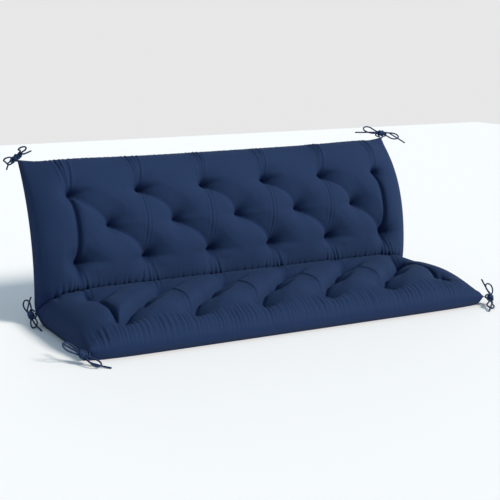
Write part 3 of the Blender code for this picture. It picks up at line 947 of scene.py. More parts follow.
# %% Pressing the pleats
for column in COLUMNS_OF_SIX:
    x = column * TUFT_PITCH
    for fan in FANS:
        press_fan(x, **fan)
    if abs(column) < LAST_COLUMN:
        for line in COLUMN_LINES:
            (x0, x1), (t0, t1) = line["x"], line["t"]
            press_pleat((x + x0, t0), (x + x1, t1), line["depth"], line["width"], line["bow"])
for row in ROWS:
    press_row(**row)
for tuft_x, tuft_t in TUFTS:
    in_middle_row = abs(row_number(tuft_t) - 2) < 0.5
    if tuft_t > 0 and not in_middle_row:
        press_wrinkle(tuft_x + WRINKLE_START, tuft_t, **TUFT_WRINKLE)
print("pleats: deepest", round(float(pleat_depth.max()) * MILLIMETRES, 1), "mm")

# %% [markdown]
# ## Laps
# Along a deep crease the fuller pillow leans over and hides the bottom. A height alone can't
# overhang, and a collision run would be slow. So the points on the crease's left side are moved
# sideways, along the panel, towards its right side.

# %% How far the pillows lean over their creases
LAP_SHIFT = 0.007
LAP_REACH = 0.007
LAP_FROM_TUFT = (0.010, 0.020)  # a lap starts this far from a tuft and grows over so much
LAP_FROM_END = (0.15, 0.2)  # the same from the outer columns, in tuft pitches


def lap_shift(x, t):
    """How far each point moves towards the right-hand side of its deep crease."""
    row = row_number(t)
    inside = (row > 1) & (row < LAST_ROW) & (np.abs(x / TUFT_PITCH) < LAST_COLUMN)
    offset = wrapped(x / TUFT_PITCH + row / 2) * crease_slope(t)
    reach = np.clip(-offset / LAP_REACH, 0, None)
    away = smooth_step((tuft_distance(x, t) - LAP_FROM_TUFT[0]) / LAP_FROM_TUFT[1])
    from_end = LAST_COLUMN - LAP_FROM_END[0] - np.abs(x) / TUFT_PITCH
    away = away * smooth_step(from_end / LAP_FROM_END[1])
    return np.where(inside, LAP_SHIFT * reach * np.exp(1 - reach) * away, 0.0)


leaning = lap_shift(fine_x, fine_t)
print("laps: at most", round(float(leaning.max()) * MILLIMETRES, 1), "mm to the side")

# %% Moving the points: first the laps, then the pleats
SEAM_CLEAR, SEAM_FADE = 0.001, 0.008  # the pleats fade out this near to the seam


def unit(vectors):
    return vectors / np.linalg.norm(vectors, axis=-1, keepdims=True)


across, along = (unit(np.gradient(fine_top, axis=axis)) for axis in (1, 0))
run_along = np.where(fine_t > 0, 0.5, -0.5) / row_pitch(fine_t)
sideways = unit(across * (1 / TUFT_PITCH) + along * run_along[..., None])
fine_top = fine_top + sideways * leaning[..., None]
from_seam = np.minimum(WIDTH / 2 - np.abs(fine_x), half_length(fine_t) - np.abs(fine_t))
edge_fade = smooth_step((from_seam - SEAM_CLEAR) / SEAM_FADE)
fine_top = fine_top - grid_normals(fine_top) * (pleat_depth * edge_fade)[..., None]
fine_top = kept_apart(fine_top, fine_t)
fine_top[..., 2] = np.maximum(fine_top[..., 2], 0.0)
print("highest point of the pad", round(float(fine_top[..., 2].max()), 3), "m")

# %% [markdown]
# ## Painted shade in the hollows
# The cushion's colour is painted darker in its tufts, creases, bend and seams: painted shade,
# on top of the shade that the render finds by itself. An attribute on the points says how much
# painted shade each place gets, and the finish mixes its darker colour by it.

# %% How much painted shade each place gets
# How strong and how wide the painted shade is at the tufts, creases, bend and seams
TUFT_SHADE, TUFT_SHADE_REACH = 0.75, 0.017
TUFT_SHADE_AT = (0.004, 0.002)  # a little to the right of the tuft and above it
CREASE_SHADE, CREASE_SHADE_LAP = 0.5, 0.004
CREASE_SHADE_OPEN = (0.017, 0.005)  # on a crease's gentle side, of the seat and of the back
END_SHADE_FROM = 0.4  # the row where the end creases' shade starts
FOLD_SHADE, FOLD_REACH, FOLD_FADE = 0.7, 0.07, 0.014
SEAM_SHADE, SEAM_SHADE_REACH = 0.5, 0.003


def painted_shade_field(x, t):
    """Painted shade: 0 on open cloth, up to 1 in the deepest places."""
    row = row_number(t)
    from_tuft = tuft_distance(x - TUFT_SHADE_AT[0], t - TUFT_SHADE_AT[1])
    # painted shade round each tuft
    tuft = TUFT_SHADE * np.exp(-((from_tuft / TUFT_SHADE_REACH) ** 2))
    # painted shade along the creases, wider on the seat's gentle side
    lapped = wrapped(x / TUFT_PITCH + row / 2) * crease_slope(t)
    inside = (row > 1) & (row < LAST_ROW) & (np.abs(x) < LAST_COLUMN * TUFT_PITCH)
    width = np.where(lapped < 0, CREASE_SHADE_LAP, np.where(t < 0, *CREASE_SHADE_OPEN))
    crease = CREASE_SHADE * inside * np.exp(-((lapped / width) ** 2))
    from_end = np.abs(np.abs(x) - LAST_COLUMN * TUFT_PITCH) / CREASE_SHADE_LAP
    beside_rows = (row < LAST_ROW) & (row > END_SHADE_FROM)
    crease = np.maximum(crease, CREASE_SHADE * beside_rows * np.exp(-(from_end**2)))
    # painted shade in the bend and along the seams
    fold = FOLD_SHADE * np.exp(-(((np.abs(t) - FOLD_REACH) / FOLD_FADE) ** 2))
    fold = np.where(np.abs(t) < FOLD_REACH, FOLD_SHADE, fold)
    from_seam = np.minimum(WIDTH / 2 - np.abs(x), half_length(t) - np.abs(t))
    seam = SEAM_SHADE * np.exp(-from_seam / SEAM_SHADE_REACH)
    return np.maximum.reduce([tuft, crease, fold, seam])


painted_shade = painted_shade_field(fine_x, fine_t)
print("hollow: mean", round(float(painted_shade.mean()), 2))

# %% [markdown]
# ## The pad in one piece
# The real panels meet in one seam, so the two grids must share its points, although the upper
# one is finer. Both could be joined and merged by distance, but that can miss a point. Here the
# faces of the under panel that touch the seam simply take in the fine points between their
# corners.


# %% Faces of the under panel
def under_faces(fine_index, coarse_index):
    """Faces of the under panel, with every fine point of the seam in them."""
    last_j, last_i = coarse_index.shape[0] - 1, coarse_index.shape[1] - 1
    faces = []
    for j, i in np.ndindex(last_j, last_i):
        corners = [(j, i), (j, i + 1), (j + 1, i + 1), (j + 1, i)]
        face = []
        for (j0, i0), (j1, i1) in zip(corners, corners[1:] + corners[:1]):
            face.append(int(coarse_index[j0, i0]))
            along_seam = (j0 == j1 and j0 in (0, last_j)) or (i0 == i1 and i0 in (0, last_i))
            parts = (ACROSS_PARTS if j0 == j1 else ALONG_PARTS) if along_seam else 1
            for part in range(1, parts):
                fine_j, fine_i = j0 * ALONG_PARTS, i0 * ACROSS_PARTS
                face.append(int(fine_index[fine_j + (j1 - j0) * part, fine_i + (i1 - i0) * part]))
        faces.append(tuple(face[::-1]))
    return faces


print("a seam edge takes in", ACROSS_PARTS - 1, "or", ALONG_PARTS - 1, "fine points")

# %% The pad's final mesh
PAINTED_SHADE_UNDER, BEND_BARE = 0.7, 0.1  # share of the painted shade on the far side, none so near the bend


def pad_mesh(name, top, under, x, t, painted_shade):
    """One closed mesh: a fine top panel and a coarser under panel that share the seam."""
    fine_index = np.arange(top.shape[0] * top.shape[1]).reshape(top.shape[:2])
    coarse = (slice(None, None, ALONG_PARTS), slice(None, None, ACROSS_PARTS))
    coarse_index = fine_index[coarse].copy()
    inner = np.zeros(coarse_index.shape, bool)
    inner[1:-1, 1:-1] = True
    coarse_index[inner] = fine_index.size + np.arange(inner.sum())
    points = np.concatenate([top.reshape(-1, 3), under[inner]])
    flat_places = np.stack([x, t], -1)
    under_places = flat_places[coarse][inner]
    pattern = np.concatenate([flat_places.reshape(-1, 2), under_places])
    ring = np.stack(
        [fine_index[:-1, :-1], fine_index[:-1, 1:], fine_index[1:, 1:], fine_index[1:, :-1]], -1
    )
    faces = [tuple(face) for face in ring.reshape(-1, 4).tolist()]
    faces += under_faces(fine_index, coarse_index)
    face_corners = np.concatenate([np.array(face) for face in faces])
    piece = mesh_object(name, points, faces, pattern[face_corners])
    # painted shade as an attribute of the points, weaker on the under panel
    painted_shade_under = PAINTED_SHADE_UNDER * painted_shade[coarse][inner] * (np.abs(under_places[:, 1]) > BEND_BARE)
    shade = piece.data.attributes.new("painted_shade", "FLOAT", "POINT")
    shade.data.foreach_set("value", np.concatenate([painted_shade.ravel(), painted_shade_under]))
    return piece


bpy.data.objects.remove(pad, do_unlink=True)
cushion = pad_mesh("cushion_cloth", fine_top, under_grid, fine_x, fine_t, painted_shade)
triangles = sum(len(face.vertices) - 2 for face in cushion.data.polygons)
print("cushion", len(cushion.data.vertices), "points", triangles, "triangles")

# %% [markdown]
# ## Laying the strands
# The listed points are few, and they are in the bow's own directions. A curve object with
# handles could join them, but its length would be a guess. Here the points are turned to where
# the bow hangs, joined by a smooth line, and the line is cut to the tie's real length.


# %% Where a bow sits
def seam_corner(side, end):
    """Where the end seams or the cross seam (end 0) meet the side of the pad."""
    t = {1: BACK_LENGTH, 0: 0.0, -1: -SEAT_LENGTH}[end]
    return Vector(place(np.array(side * WIDTH / 2), np.array(t), 0.0))


def bow_frame(bow):
    """The middle of a bow's knot and its three directions."""
    out = Vector(bow["way_out"]).normalized()
    line = Vector(bow["line"])
    line = (line - out * line.dot(out)).normalized()
    return seam_corner(bow["side"], bow["end"]) + out * KNOT_OFFSET, (line, out, line.cross(out))


for bow in BOWS:
    print(bow["name"], "is knotted at", [round(v, 3) for v in bow_frame(bow)[0]])


# %% How its loops and tails are turned
def turned(point, turn):
    """A route point with the loop or tail it belongs to turned off the bow's line."""
    reach = abs(point[0]) - FREE_FROM
    if reach <= 0:
        return Vector(point)
    share = float(smooth_step(reach / FREE_OVER))
    lift, swing = (math.radians(angle) * share for angle in turn)
    side = math.copysign(1.0, point[0])
    ahead, up, near = reach, point[1], point[2]
    ahead, up = (
        ahead * math.cos(lift) - up * math.sin(lift),
        ahead * math.sin(lift) + up * math.cos(lift),
    )
    ahead, near = (
        ahead * math.cos(swing) - near * math.sin(swing),
        ahead * math.sin(swing) + near * math.cos(swing),
    )
    return Vector((side * (FREE_FROM + ahead), up, near))


def strand_route(bow, second):
    """Points of one strand in the frame, in metres."""
    middle, axes = bow_frame(bow)
    loop, tail = ("right_loop", "left_tail") if second else ("left_loop", "right_tail")
    flip = -1.0 if second else 1.0
    (along, out, near), *rest = ROOT_ROUTE
    root = ((along, out + bow["root_lift"][second], near), *rest)
    parts = ((root, (0, 0)), (LOOP_ROUTE, bow[loop]), (TAIL_ROUTE, bow[tail]))
    route = []
    for points, turn in parts:
        swing = (turn[0], turn[1] * flip)
        for point in points:
            x, y, z = turned(point, swing) / MILLIMETRES
            route.append(middle + axes[0] * x * flip + axes[1] * y + axes[2] * z * flip)
    return route


print("first strand starts at", np.round(strand_route(BOWS[0], False)[0], 3))

# %% A smooth line of the tie's length
TIE_POINTS = 161
LINE_SAMPLES = 12  # points on the smooth line between two points of the route


def smooth_curve(route):
    """A smooth line through the points of a route, kept above the floor."""
    route = [np.array(point) for point in route]
    line = []
    for i in range(len(route) - 1):
        before, start_point, stop = route[max(i - 1, 0)], route[i], route[i + 1]
        after = route[min(i + 2, len(route) - 1)]
        s = np.linspace(0, 1, LINE_SAMPLES, endpoint=False)[:, None]
        line.append(
            0.5
            * (
                2 * start_point
                + (stop - before) * s
                + (2 * before - 5 * start_point + 4 * stop - after) * s**2
                + (3 * start_point - before - 3 * stop + after) * s**3
            )
        )
    line = np.concatenate([*line, [route[-1]]])
    line[:, 2] = np.maximum(line[:, 2], TIE_DIAMETER / 2)
    return line


def travelled_along(line):
    """How far along the line each of its points is."""
    return np.concatenate([[0], np.cumsum(np.linalg.norm(np.diff(line, axis=0), axis=1))])


def evenly(line, count, length):
    """Evenly spaced points along a line, cut to the given length."""
    due = np.linspace(0, length, count)
    return np.stack([np.interp(due, travelled_along(line), line[:, k]) for k in range(3)], -1)


whole = travelled_along(smooth_curve(strand_route(BOWS[0], False)))[-1]
print("first route is", round(float(whole), 3), "m long, cut to", TIE_LENGTH, "m")

# %% [markdown]
# ## The tube of a tie
# A tie is a strip folded and sewn along one edge, so a low ridge runs along it, and it puckers a
# little. A curve with a bevel would make a plain round tube. Here rings of points are swept
# along the path, each turned from the last by the least it can be, so the ridge doesn't twist.

# %% Rings along a path
RIDGE_HEIGHT, RIDGE_SPREAD = 0.0004, 0.35  # the seam along a tie, in metres and radians
PUCKER_HEIGHT, PUCKER_LENGTH = 0.00012, 0.011
FIRST_SIDE = (0.3, 0.2, 1.0)  # along no strand


def ring_directions(path):
    """Two directions square to the path at each of its points, turning as little as they can."""
    along = np.gradient(path, axis=0)
    along /= np.linalg.norm(along, axis=1, keepdims=True)
    side = np.cross(along[0], FIRST_SIDE)
    side /= np.linalg.norm(side)
    sides_along = []
    for direction in along:
        side = side - direction * side.dot(direction)
        side /= np.linalg.norm(side)
        sides_along.append(side)
    first = np.array(sides_along)
    return first, np.cross(along, first)


def tube_points(path, radius, sides, angle, travelled):
    """Rings of points along the path, with the seam's ridge and the puckers."""
    first, second = ring_directions(path)
    ring = first[:, None] * np.cos(angle)[None, :, None]
    ring = ring + second[:, None] * np.sin(angle)[None, :, None]
    from_ridge = wrapped(angle / (2 * math.pi)) * 2 * math.pi / RIDGE_SPREAD
    ridge = RIDGE_HEIGHT * np.exp(-(from_ridge**2))
    puckers = PUCKER_HEIGHT * np.sin(2 * math.pi * travelled / PUCKER_LENGTH)[:, None]
    puckers = puckers * np.cos(2 * angle)[None, :]
    reach = radius - RIDGE_HEIGHT / 4 + ridge[None, :] + puckers
    return (path[:, None] + ring * reach[..., None]).reshape(-1, 3)


print("ridge", RIDGE_HEIGHT, "m high, a pucker every", PUCKER_LENGTH, "m")


# %% A closed tube
def sweep(name, path, radius, sides):
    """A closed tube along a path, with its own flat pattern."""
    angle = np.linspace(0, 2 * math.pi, sides, endpoint=False)
    count = len(path)
    travelled = np.arange(count) * np.linalg.norm(np.diff(path, axis=0), axis=1).mean()
    faces, pattern = [], []
    girth = 2 * math.pi * radius / sides
    for i, k in np.ndindex(count - 1, sides):
        here, beyond, after = i * sides, (i + 1) * sides, (k + 1) % sides
        faces.append((here + k, here + after, beyond + after, beyond + k))
        (left, right), (low, high) = (k * girth, (k + 1) * girth), travelled[i : i + 2]
        pattern += [(left, low), (right, low), (right, high), (left, high)]
    round_end = [(radius * math.cos(a), radius * math.sin(a)) for a in angle]
    faces.append(tuple(range(sides))[::-1])
    faces.append(tuple((count - 1) * sides + k for k in range(sides)))
    pattern += round_end[::-1] + round_end
    return mesh_object(name, tube_points(path, radius, sides, angle, travelled), faces, pattern)


# %% The twelve strands
TIE_SIDES = 14
ties = []
for bow in BOWS:
    for second in (False, True):
        name = f"tie_{bow['name']}_{'b' if second else 'a'}"
        path = evenly(smooth_curve(strand_route(bow, second)), TIE_POINTS, TIE_LENGTH)
        tube = sweep(name + "_cloth", path, TIE_DIAMETER / 2, TIE_SIDES)
        ties.append((bow, name, tube, path))
print(len(ties), "strands")

# %% [markdown]
# ## The knots
# A bow is held by the strand that wraps round its middle, and from outside that looks like a
# band with a groove between its two turns. The strands could be led round it too, but then they
# cut into each other. So the knot is a band of its own, round the four strands that cross in it.

# %% Knots
KNOT_BORE = 0.0075
KNOT_SIDES = 40
KNOT_MIDDLE = 0.003  # from the bore to the middle of the band, where its pattern is measured
KNOT_SECTION = (  # millimetres along the bow and outwards from the bore
    (-9.0, 0.0), (9.0, 0.0), (10.3, 1.8), (8.6, 3.7), (5.6, 4.2),
    (2.4, 3.6), (0.0, 2.3), (-2.4, 3.6), (-5.6, 4.2), (-8.6, 3.7), (-10.3, 1.8),
)
WRAP_SLANT = 0.0015
SLANT_RISE = 4  # millimetres outwards at which the slant is as large as that


def build_knot(bow):
    """The knot: a band wrapped twice round the four strands that cross in it."""
    middle, (line, out, near) = bow_frame(bow)
    points, faces = [], []
    size = len(KNOT_SECTION)
    for i in range(KNOT_SIDES):
        angle = 2 * math.pi * i / KNOT_SIDES
        ray = out * math.cos(angle) + near * math.sin(angle)
        for along, rise in KNOT_SECTION:
            slant = WRAP_SLANT * math.sin(angle) * (rise / SLANT_RISE)
            from_middle = line * (along / MILLIMETRES + slant)
            points.append(middle + from_middle + ray * (KNOT_BORE + rise / MILLIMETRES))
    pattern = []
    travelled = travelled_along(np.array(KNOT_SECTION + KNOT_SECTION[:1]) / MILLIMETRES)
    turn_length = 2 * math.pi * (KNOT_BORE + KNOT_MIDDLE) / KNOT_SIDES
    for i, k in np.ndindex(KNOT_SIDES, size):
        here, beyond, after = i * size, (i + 1) % KNOT_SIDES * size, (k + 1) % size
        faces.append((here + k, here + after, beyond + after, beyond + k))
        (left, right), (low, high) = travelled[k : k + 2], (i * turn_length, (i + 1) * turn_length)
        pattern += [(left, low), (right, low), (right, high), (left, high)]
    return mesh_object(f"knot_{bow['name']}_cloth", np.array(points), faces, pattern)


knots = {bow["name"]: build_knot(bow) for bow in BOWS}
print(len(knots), "knots")

# %% [markdown]
# ## The weave
# The cloth is a plain weave: each thread passes over one and under the next. A picture of cloth
# could be wrapped round the pad, but a small node group makes the threads at their real size
# from the flat pattern, so they follow the cloth. It puts out the height of the threads and a
# slow unevenness of their shade; each material mixes these in its own colours.

# %% Short ways to add one node
def feed(tree, socket, value):
    """Links an output to a node's input, or sets the input to a plain value."""
    if isinstance(value, bpy.types.NodeSocket):
        tree.links.new(value, socket)
    else:
        socket.default_value = value


def math_step(tree, operation, *values):
    """A node that works one sum out."""
    node = tree.nodes.new("ShaderNodeMath")
    node.operation = operation
    for socket, value in zip(node.inputs, values):
        feed(tree, socket, value)
    return node.outputs[0]


def vector_step(tree, operation, **values):
    """The same for three numbers at once: at0 and at1 are its inputs, scale its factor."""
    node = tree.nodes.new("ShaderNodeVectorMath")
    node.operation = operation
    for where, value in values.items():
        socket = node.inputs["Scale"] if where == "scale" else node.inputs[int(where[-1])]
        feed(tree, socket, value)
    return node.outputs["Vector"]


def noise_step(tree, vector, scale, detail=2.0):
    """Cloudy noise; a vector stretched by its axes makes streaks."""
    node = tree.nodes.new("ShaderNodeTexNoise")
    feed(tree, node.inputs["Vector"], vector)
    node.inputs["Scale"].default_value = scale
    node.inputs["Detail"].default_value = detail
    return node


# %% A new node group
def new_group(name, kind, inputs, outputs):
    """An empty node group with the named sockets, and its two end nodes."""
    tree = bpy.data.node_groups.new(name, kind)
    for way, sockets in (("INPUT", inputs), ("OUTPUT", outputs)):
        for label, socket in sockets:
            tree.interface.new_socket(label, in_out=way, socket_type="NodeSocket" + socket)
    return tree, tree.nodes.new("NodeGroupInput"), tree.nodes.new("NodeGroupOutput")


print(len(bpy.data.node_groups), "node groups before the weave")

# %% Threads over and under
THREAD_WOBBLE = 260.0  # waves to a metre in which the threads wander


def wandering_threads(tree, pattern, pitch, wander):
    """The flat place counted in threads, along and across."""
    wobble = noise_step(tree, pattern, THREAD_WOBBLE)
    wobble = vector_step(tree, "SUBTRACT", at0=wobble.outputs["Color"], at1=(0.5, 0.5, 0.5))
    wobble = vector_step(tree, "SCALE", at0=wobble, scale=wander)
    per_metre = math_step(tree, "DIVIDE", 1.0, pitch)
    threads = vector_step(tree, "SCALE", at0=pattern, scale=per_metre)
    threads = vector_step(tree, "ADD", at0=threads, at1=wobble)
    parts = tree.nodes.new("ShaderNodeSeparateXYZ")
    tree.links.new(threads, parts.inputs[0])
    return parts.outputs[0], parts.outputs[1]


def round_thread(tree, value):
    """0 at both sides of a thread and 1 on its middle."""
    turn = math_step(tree, "MULTIPLY", math_step(tree, "FRACT", value), math.pi)
    return math_step(tree, "SINE", turn)


def plain_height(tree, u, v):
    """Height of whichever thread is on top: they take turns, cell by cell."""
    over_u, over_v = round_thread(tree, u), round_thread(tree, v)
    cells = math_step(tree, "ADD", math_step(tree, "FLOOR", u), math_step(tree, "FLOOR", v))
    weft_on_top = math_step(tree, "FLOORED_MODULO", cells, 2.0)
    warp = math_step(tree, "MULTIPLY", math_step(tree, "SQRT", over_u), over_v)
    weft = math_step(tree, "MULTIPLY", math_step(tree, "SQRT", over_v), over_u)
    difference = math_step(tree, "SUBTRACT", weft, warp)
    return math_step(tree, "MULTIPLY_ADD", difference, weft_on_top, warp)


# %% Plain weave group
CLOUDS, STREAK_ACROSS, STREAK_ALONG = 7.0, 240.0, 6.0  # waves to a metre
SHADE_SPREAD, SHADE_DROP = 0.6, -0.7


def plain_weave_group():
    """Pattern place in metres -> height of the threads, 0 to 1, and unevenness of their shade."""
    tree, given, result = new_group(
        "plain_weave", "ShaderNodeTree",
        (("Pattern", "Vector"), ("Thread Pitch", "Float"), ("Wander", "Float")),
        (("Height", "Float"), ("Shade", "Float")),
    )
    pattern, pitch, wander = given.outputs[:3]
    threads = wandering_threads(tree, pattern, pitch, wander)
    tree.links.new(plain_height(tree, *threads), result.inputs["Height"])

    clouds = noise_step(tree, pattern, CLOUDS, 3.0).outputs[0]
    streaks = []
    for stretch in ((STREAK_ALONG, STREAK_ACROSS, 1.0), (STREAK_ACROSS, STREAK_ALONG, 1.0)):
        stretched = vector_step(tree, "MULTIPLY", at0=pattern, at1=stretch)
        streaks.append(noise_step(tree, stretched, 1.0, 1.0).outputs[0])
    streaks = math_step(tree, "ADD", *streaks)
    shade = math_step(tree, "ADD", math_step(tree, "MULTIPLY", clouds, 2.0), streaks)
    shade = math_step(tree, "MULTIPLY_ADD", shade, SHADE_SPREAD, SHADE_DROP)
    tree.links.new(shade, result.inputs["Shade"])
    return tree


plain_weave = plain_weave_group()
print("weave group with", len(plain_weave.nodes), "nodes")

# %% [markdown]
# ## Cloth finishes
# The pad and the ties are one navy cotton-like cloth. It is nearly matt, its loose fibre ends
# catch a little light at grazing angles, and its colour is painted darker in the tufts, creases,
# bend and seams, and in the gaps between threads, as painted shade. The ties are a little paler,
# because their cloth is stretched over a narrow tube. Two unrelated materials would drift apart,
# so one function makes both, each with its own colours and its own width of thread.

# %% Mixing colours and ranges
def colour_mix(tree, factor, first, second):
    """The first colour where factor is 0, the second where it is 1."""
    node = tree.nodes.new("ShaderNodeMix")
    node.data_type = "RGBA"
    feed(tree, node.inputs["Factor"], factor)
    feed(tree, node.inputs["A"], first)
    feed(tree, node.inputs["B"], second)
    return node.outputs["Result"]


def value_range(tree, value, low, high):
    """0 to 1 stretched to run from low to high."""
    node = tree.nodes.new("ShaderNodeMapRange")
    feed(tree, node.inputs["Value"], value)
    node.inputs["To Min"].default_value = low
    node.inputs["To Max"].default_value = high
    return node.outputs["Result"]


def new_finish(name):
    """A material with nodes, its tree and its shader."""
    finish = bpy.data.materials.new(name)
    finish.use_nodes = True
    return finish, finish.node_tree, finish.node_tree.nodes["Principled BSDF"]


def raise_surface(tree, shader, height, strength, distance):
    """Relief from a height, without moving any point."""
    bump = tree.nodes.new("ShaderNodeBump")
    bump.inputs["Strength"].default_value = strength
    bump.inputs["Distance"].default_value = distance
    tree.links.new(height, bump.inputs["Height"])
    tree.links.new(bump.outputs[0], shader.inputs["Normal"])


# %% Woven finish
GAP_SHADE_SHARE = 0.30  # how much painted shade darkens the gaps between threads
GAP_SHADE_DARKNESS = 0.45
ROUGH_LOW, ROUGH_TOP = 0.95, 0.82  # between the threads and on them
WEAVE_STRENGTH, WEAVE_RELIEF = 0.6, 0.00025
CLOTH_GLOSS = 0.15
LOOSE_FIBRE = {
    "Sheen Weight": 0.05, "Sheen Roughness": 0.45, "Sheen Tint": (0.30, 0.50, 1.0, 1.0),
}


def weave_on(tree, pitch, wander):
    """The weave group, laid on the flat pattern."""
    flat_place = tree.nodes.new("ShaderNodeUVMap")
    flat_place.uv_map = "pattern"
    weave = tree.nodes.new("ShaderNodeGroup")
    weave.node_tree = plain_weave
    tree.links.new(flat_place.outputs[0], weave.inputs["Pattern"])
    weave.inputs["Thread Pitch"].default_value = pitch
    weave.inputs["Wander"].default_value = wander
    return weave.outputs["Height"], weave.outputs["Shade"]


def woven_finish(name, dark, light, deep=None, pitch=0.0011, wander=0.25):
    """dark and light are the threads' colours; deep is the painted shade's colour."""
    finish, tree, shader = new_finish(name)
    height, shade = weave_on(tree, pitch, wander)
    colour = colour_mix(tree, shade, dark, light)
    # painted shade in the gaps between threads: low places in the weave mix towards a darker copy
    # of the dark thread
    gap_shade = tuple(GAP_SHADE_DARKNESS * part for part in dark[:3]) + (1.0,)
    colour = colour_mix(tree, value_range(tree, height, GAP_SHADE_SHARE, 0.0), colour, gap_shade)
    # painted shade: the colour mixes towards deep in the tufts, creases, bend and seams, by the
    # point attribute
    if deep:
        painted_shade = tree.nodes.new("ShaderNodeAttribute")
        painted_shade.attribute_name = "painted_shade"
        colour = colour_mix(tree, painted_shade.outputs["Fac"], colour, deep)
    tree.links.new(colour, shader.inputs["Base Color"])
    tree.links.new(value_range(tree, height, ROUGH_LOW, ROUGH_TOP), shader.inputs["Roughness"])
    raise_surface(tree, shader, height, WEAVE_STRENGTH, WEAVE_RELIEF)
    shader.inputs["Specular IOR Level"].default_value = CLOTH_GLOSS
    for socket, value in LOOSE_FIBRE.items():
        shader.inputs[socket].default_value = value
    return finish


# %% The pad's cloth and the ties' cloth
navy = woven_finish(
    "navy_cloth_look",
    dark=(0.0104, 0.0262, 0.0760, 1.0),
    light=(0.0130, 0.0312, 0.0880, 1.0),
    # the painted shade's colour
    deep=(0.0060, 0.0185, 0.0720, 1.0),
)
navy_tie = woven_finish(
    "navy_tie_look",
    dark=(0.0170, 0.0370, 0.0960, 1.0),
    light=(0.0230, 0.0470, 0.1150, 1.0),
    pitch=0.0009,
)
cushion.data.materials.append(navy)
for piece in [tube for bow, name, tube, path in ties] + list(knots.values()):
    piece.data.materials.append(navy_tie)
print("woven finishes", navy.name, navy_tie.name)

# %% [markdown]
# ## Thread finish
# Sewing thread is two plies twisted together, a little glossier than the cloth. The plies could
# be modelled, but a stitch is under 1 mm thick. Slanting bands do for both the colour and the
# relief. They come from the place in the object, because the stitches have no flat pattern.

# %% Two plies, twisted
PLY_BANDS, PLY_WAVER = 380.0, 1.5  # bands to a metre, and how much they waver
PLY_STRENGTH, PLY_RELIEF = 0.5, 0.0002
THREAD_ROUGHNESS, THREAD_GLOSS = 0.6, 0.3


def thread_finish(name, dark, light):
    finish, tree, shader = new_finish(name)
    where = tree.nodes.new("ShaderNodeTexCoord")
    bands = tree.nodes.new("ShaderNodeTexWave")
    bands.bands_direction = "DIAGONAL"
    bands.inputs["Scale"].default_value = PLY_BANDS
    bands.inputs["Distortion"].default_value = PLY_WAVER
    tree.links.new(where.outputs["Object"], bands.inputs["Vector"])
    colour = colour_mix(tree, bands.outputs["Fac"], dark, light)
    tree.links.new(colour, shader.inputs["Base Color"])
    raise_surface(tree, shader, bands.outputs["Fac"], PLY_STRENGTH, PLY_RELIEF)
    shader.inputs["Roughness"].default_value = THREAD_ROUGHNESS
    shader.inputs["Specular IOR Level"].default_value = THREAD_GLOSS
    return finish


navy_thread = thread_finish(
    "navy_thread_look", dark=(0.010, 0.022, 0.060, 1.0), light=(0.022, 0.042, 0.105, 1.0)
)
print("thread finish", navy_thread.name)

# %% [markdown]
# ## Stitches
# Three kinds of stitch show: the row along the cross seam behind the bend, the short bars of
# thread that hold each tuft through both panels, and the tacks that hold each tie in the seam.
# They could be modelled one by one, but there are over 600, and every one is the same small
# arch of thread. So one Geometry Nodes tree makes the arch and sets it on points that carry two
# directions, and each stitch is turned a little off its line by chance.

# %% One arch of thread
ARCH_STEPS, THREAD_SIDES = 4, 5
STITCH_SIZES = (
    ("Stitch Length", "Float"), ("Thread Thickness", "Float"), ("Rise", "Float"),
    ("Unevenness", "Float"), ("Seed", "Int"), ("Thread Finish", "Material"),
)


def arch_point(tree, x, z):
    node = tree.nodes.new("ShaderNodeCombineXYZ")
    feed(tree, node.inputs["X"], x)
    feed(tree, node.inputs["Z"], z)
    return node.outputs[0]


def thread_arch(tree, length, thickness, rise):
    """A short curve that rises in its middle, made into a tube with closed ends."""
    half = math_step(tree, "MULTIPLY", length, 0.5)
    top = math_step(tree, "MULTIPLY", rise, 2.0)  # the curve reaches half this height
    arch = tree.nodes.new("GeometryNodeCurveQuadraticBezier")
    arch.inputs["Resolution"].default_value = ARCH_STEPS
    feed(tree, arch.inputs["Start"], arch_point(tree, math_step(tree, "MULTIPLY", half, -1.0), 0.0))
    feed(tree, arch.inputs["Middle"], arch_point(tree, 0.0, top))
    feed(tree, arch.inputs["End"], arch_point(tree, half, 0.0))
    section = tree.nodes.new("GeometryNodeCurvePrimitiveCircle")
    section.inputs["Resolution"].default_value = THREAD_SIDES
    feed(tree, section.inputs["Radius"], math_step(tree, "MULTIPLY", thickness, 0.5))
    thread = tree.nodes.new("GeometryNodeCurveToMesh")
    tree.links.new(arch.outputs[0], thread.inputs["Curve"])
    tree.links.new(section.outputs[0], thread.inputs["Profile Curve"])
    thread.inputs["Fill Caps"].default_value = True
    return thread.outputs[0]


print("an arch has", ARCH_STEPS, "steps and", THREAD_SIDES, "sides")


# %% How an arch is turned
def named_direction(tree, name):
    """One of the two directions that every point carries."""
    node = tree.nodes.new("GeometryNodeInputNamedAttribute")
    node.data_type = "FLOAT_VECTOR"
    node.inputs["Name"].default_value = name
    return node.outputs["Attribute"]


def stitch_turn(tree, unevenness, seed):
    """The turn that lays an arch along stitch_way, off it by chance, and raises it to stitch_up."""
    chance = tree.nodes.new("FunctionNodeRandomValue")
    chance.data_type = "FLOAT_VECTOR"
    chance.inputs["Min"].default_value = (-1, -1, -1)
    chance.inputs["Max"].default_value = (1, 1, 1)
    tree.links.new(seed, chance.inputs["Seed"])
    slip = vector_step(tree, "SCALE", at0=chance.outputs["Value"], scale=unevenness)
    way = vector_step(tree, "ADD", at0=named_direction(tree, "stitch_way"), at1=slip)
    turn = tree.nodes.new("FunctionNodeAxesToRotation")
    turn.primary_axis, turn.secondary_axis = "X", "Z"
    tree.links.new(way, turn.inputs[0])
    tree.links.new(named_direction(tree, "stitch_up"), turn.inputs[1])
    return turn.outputs[0]


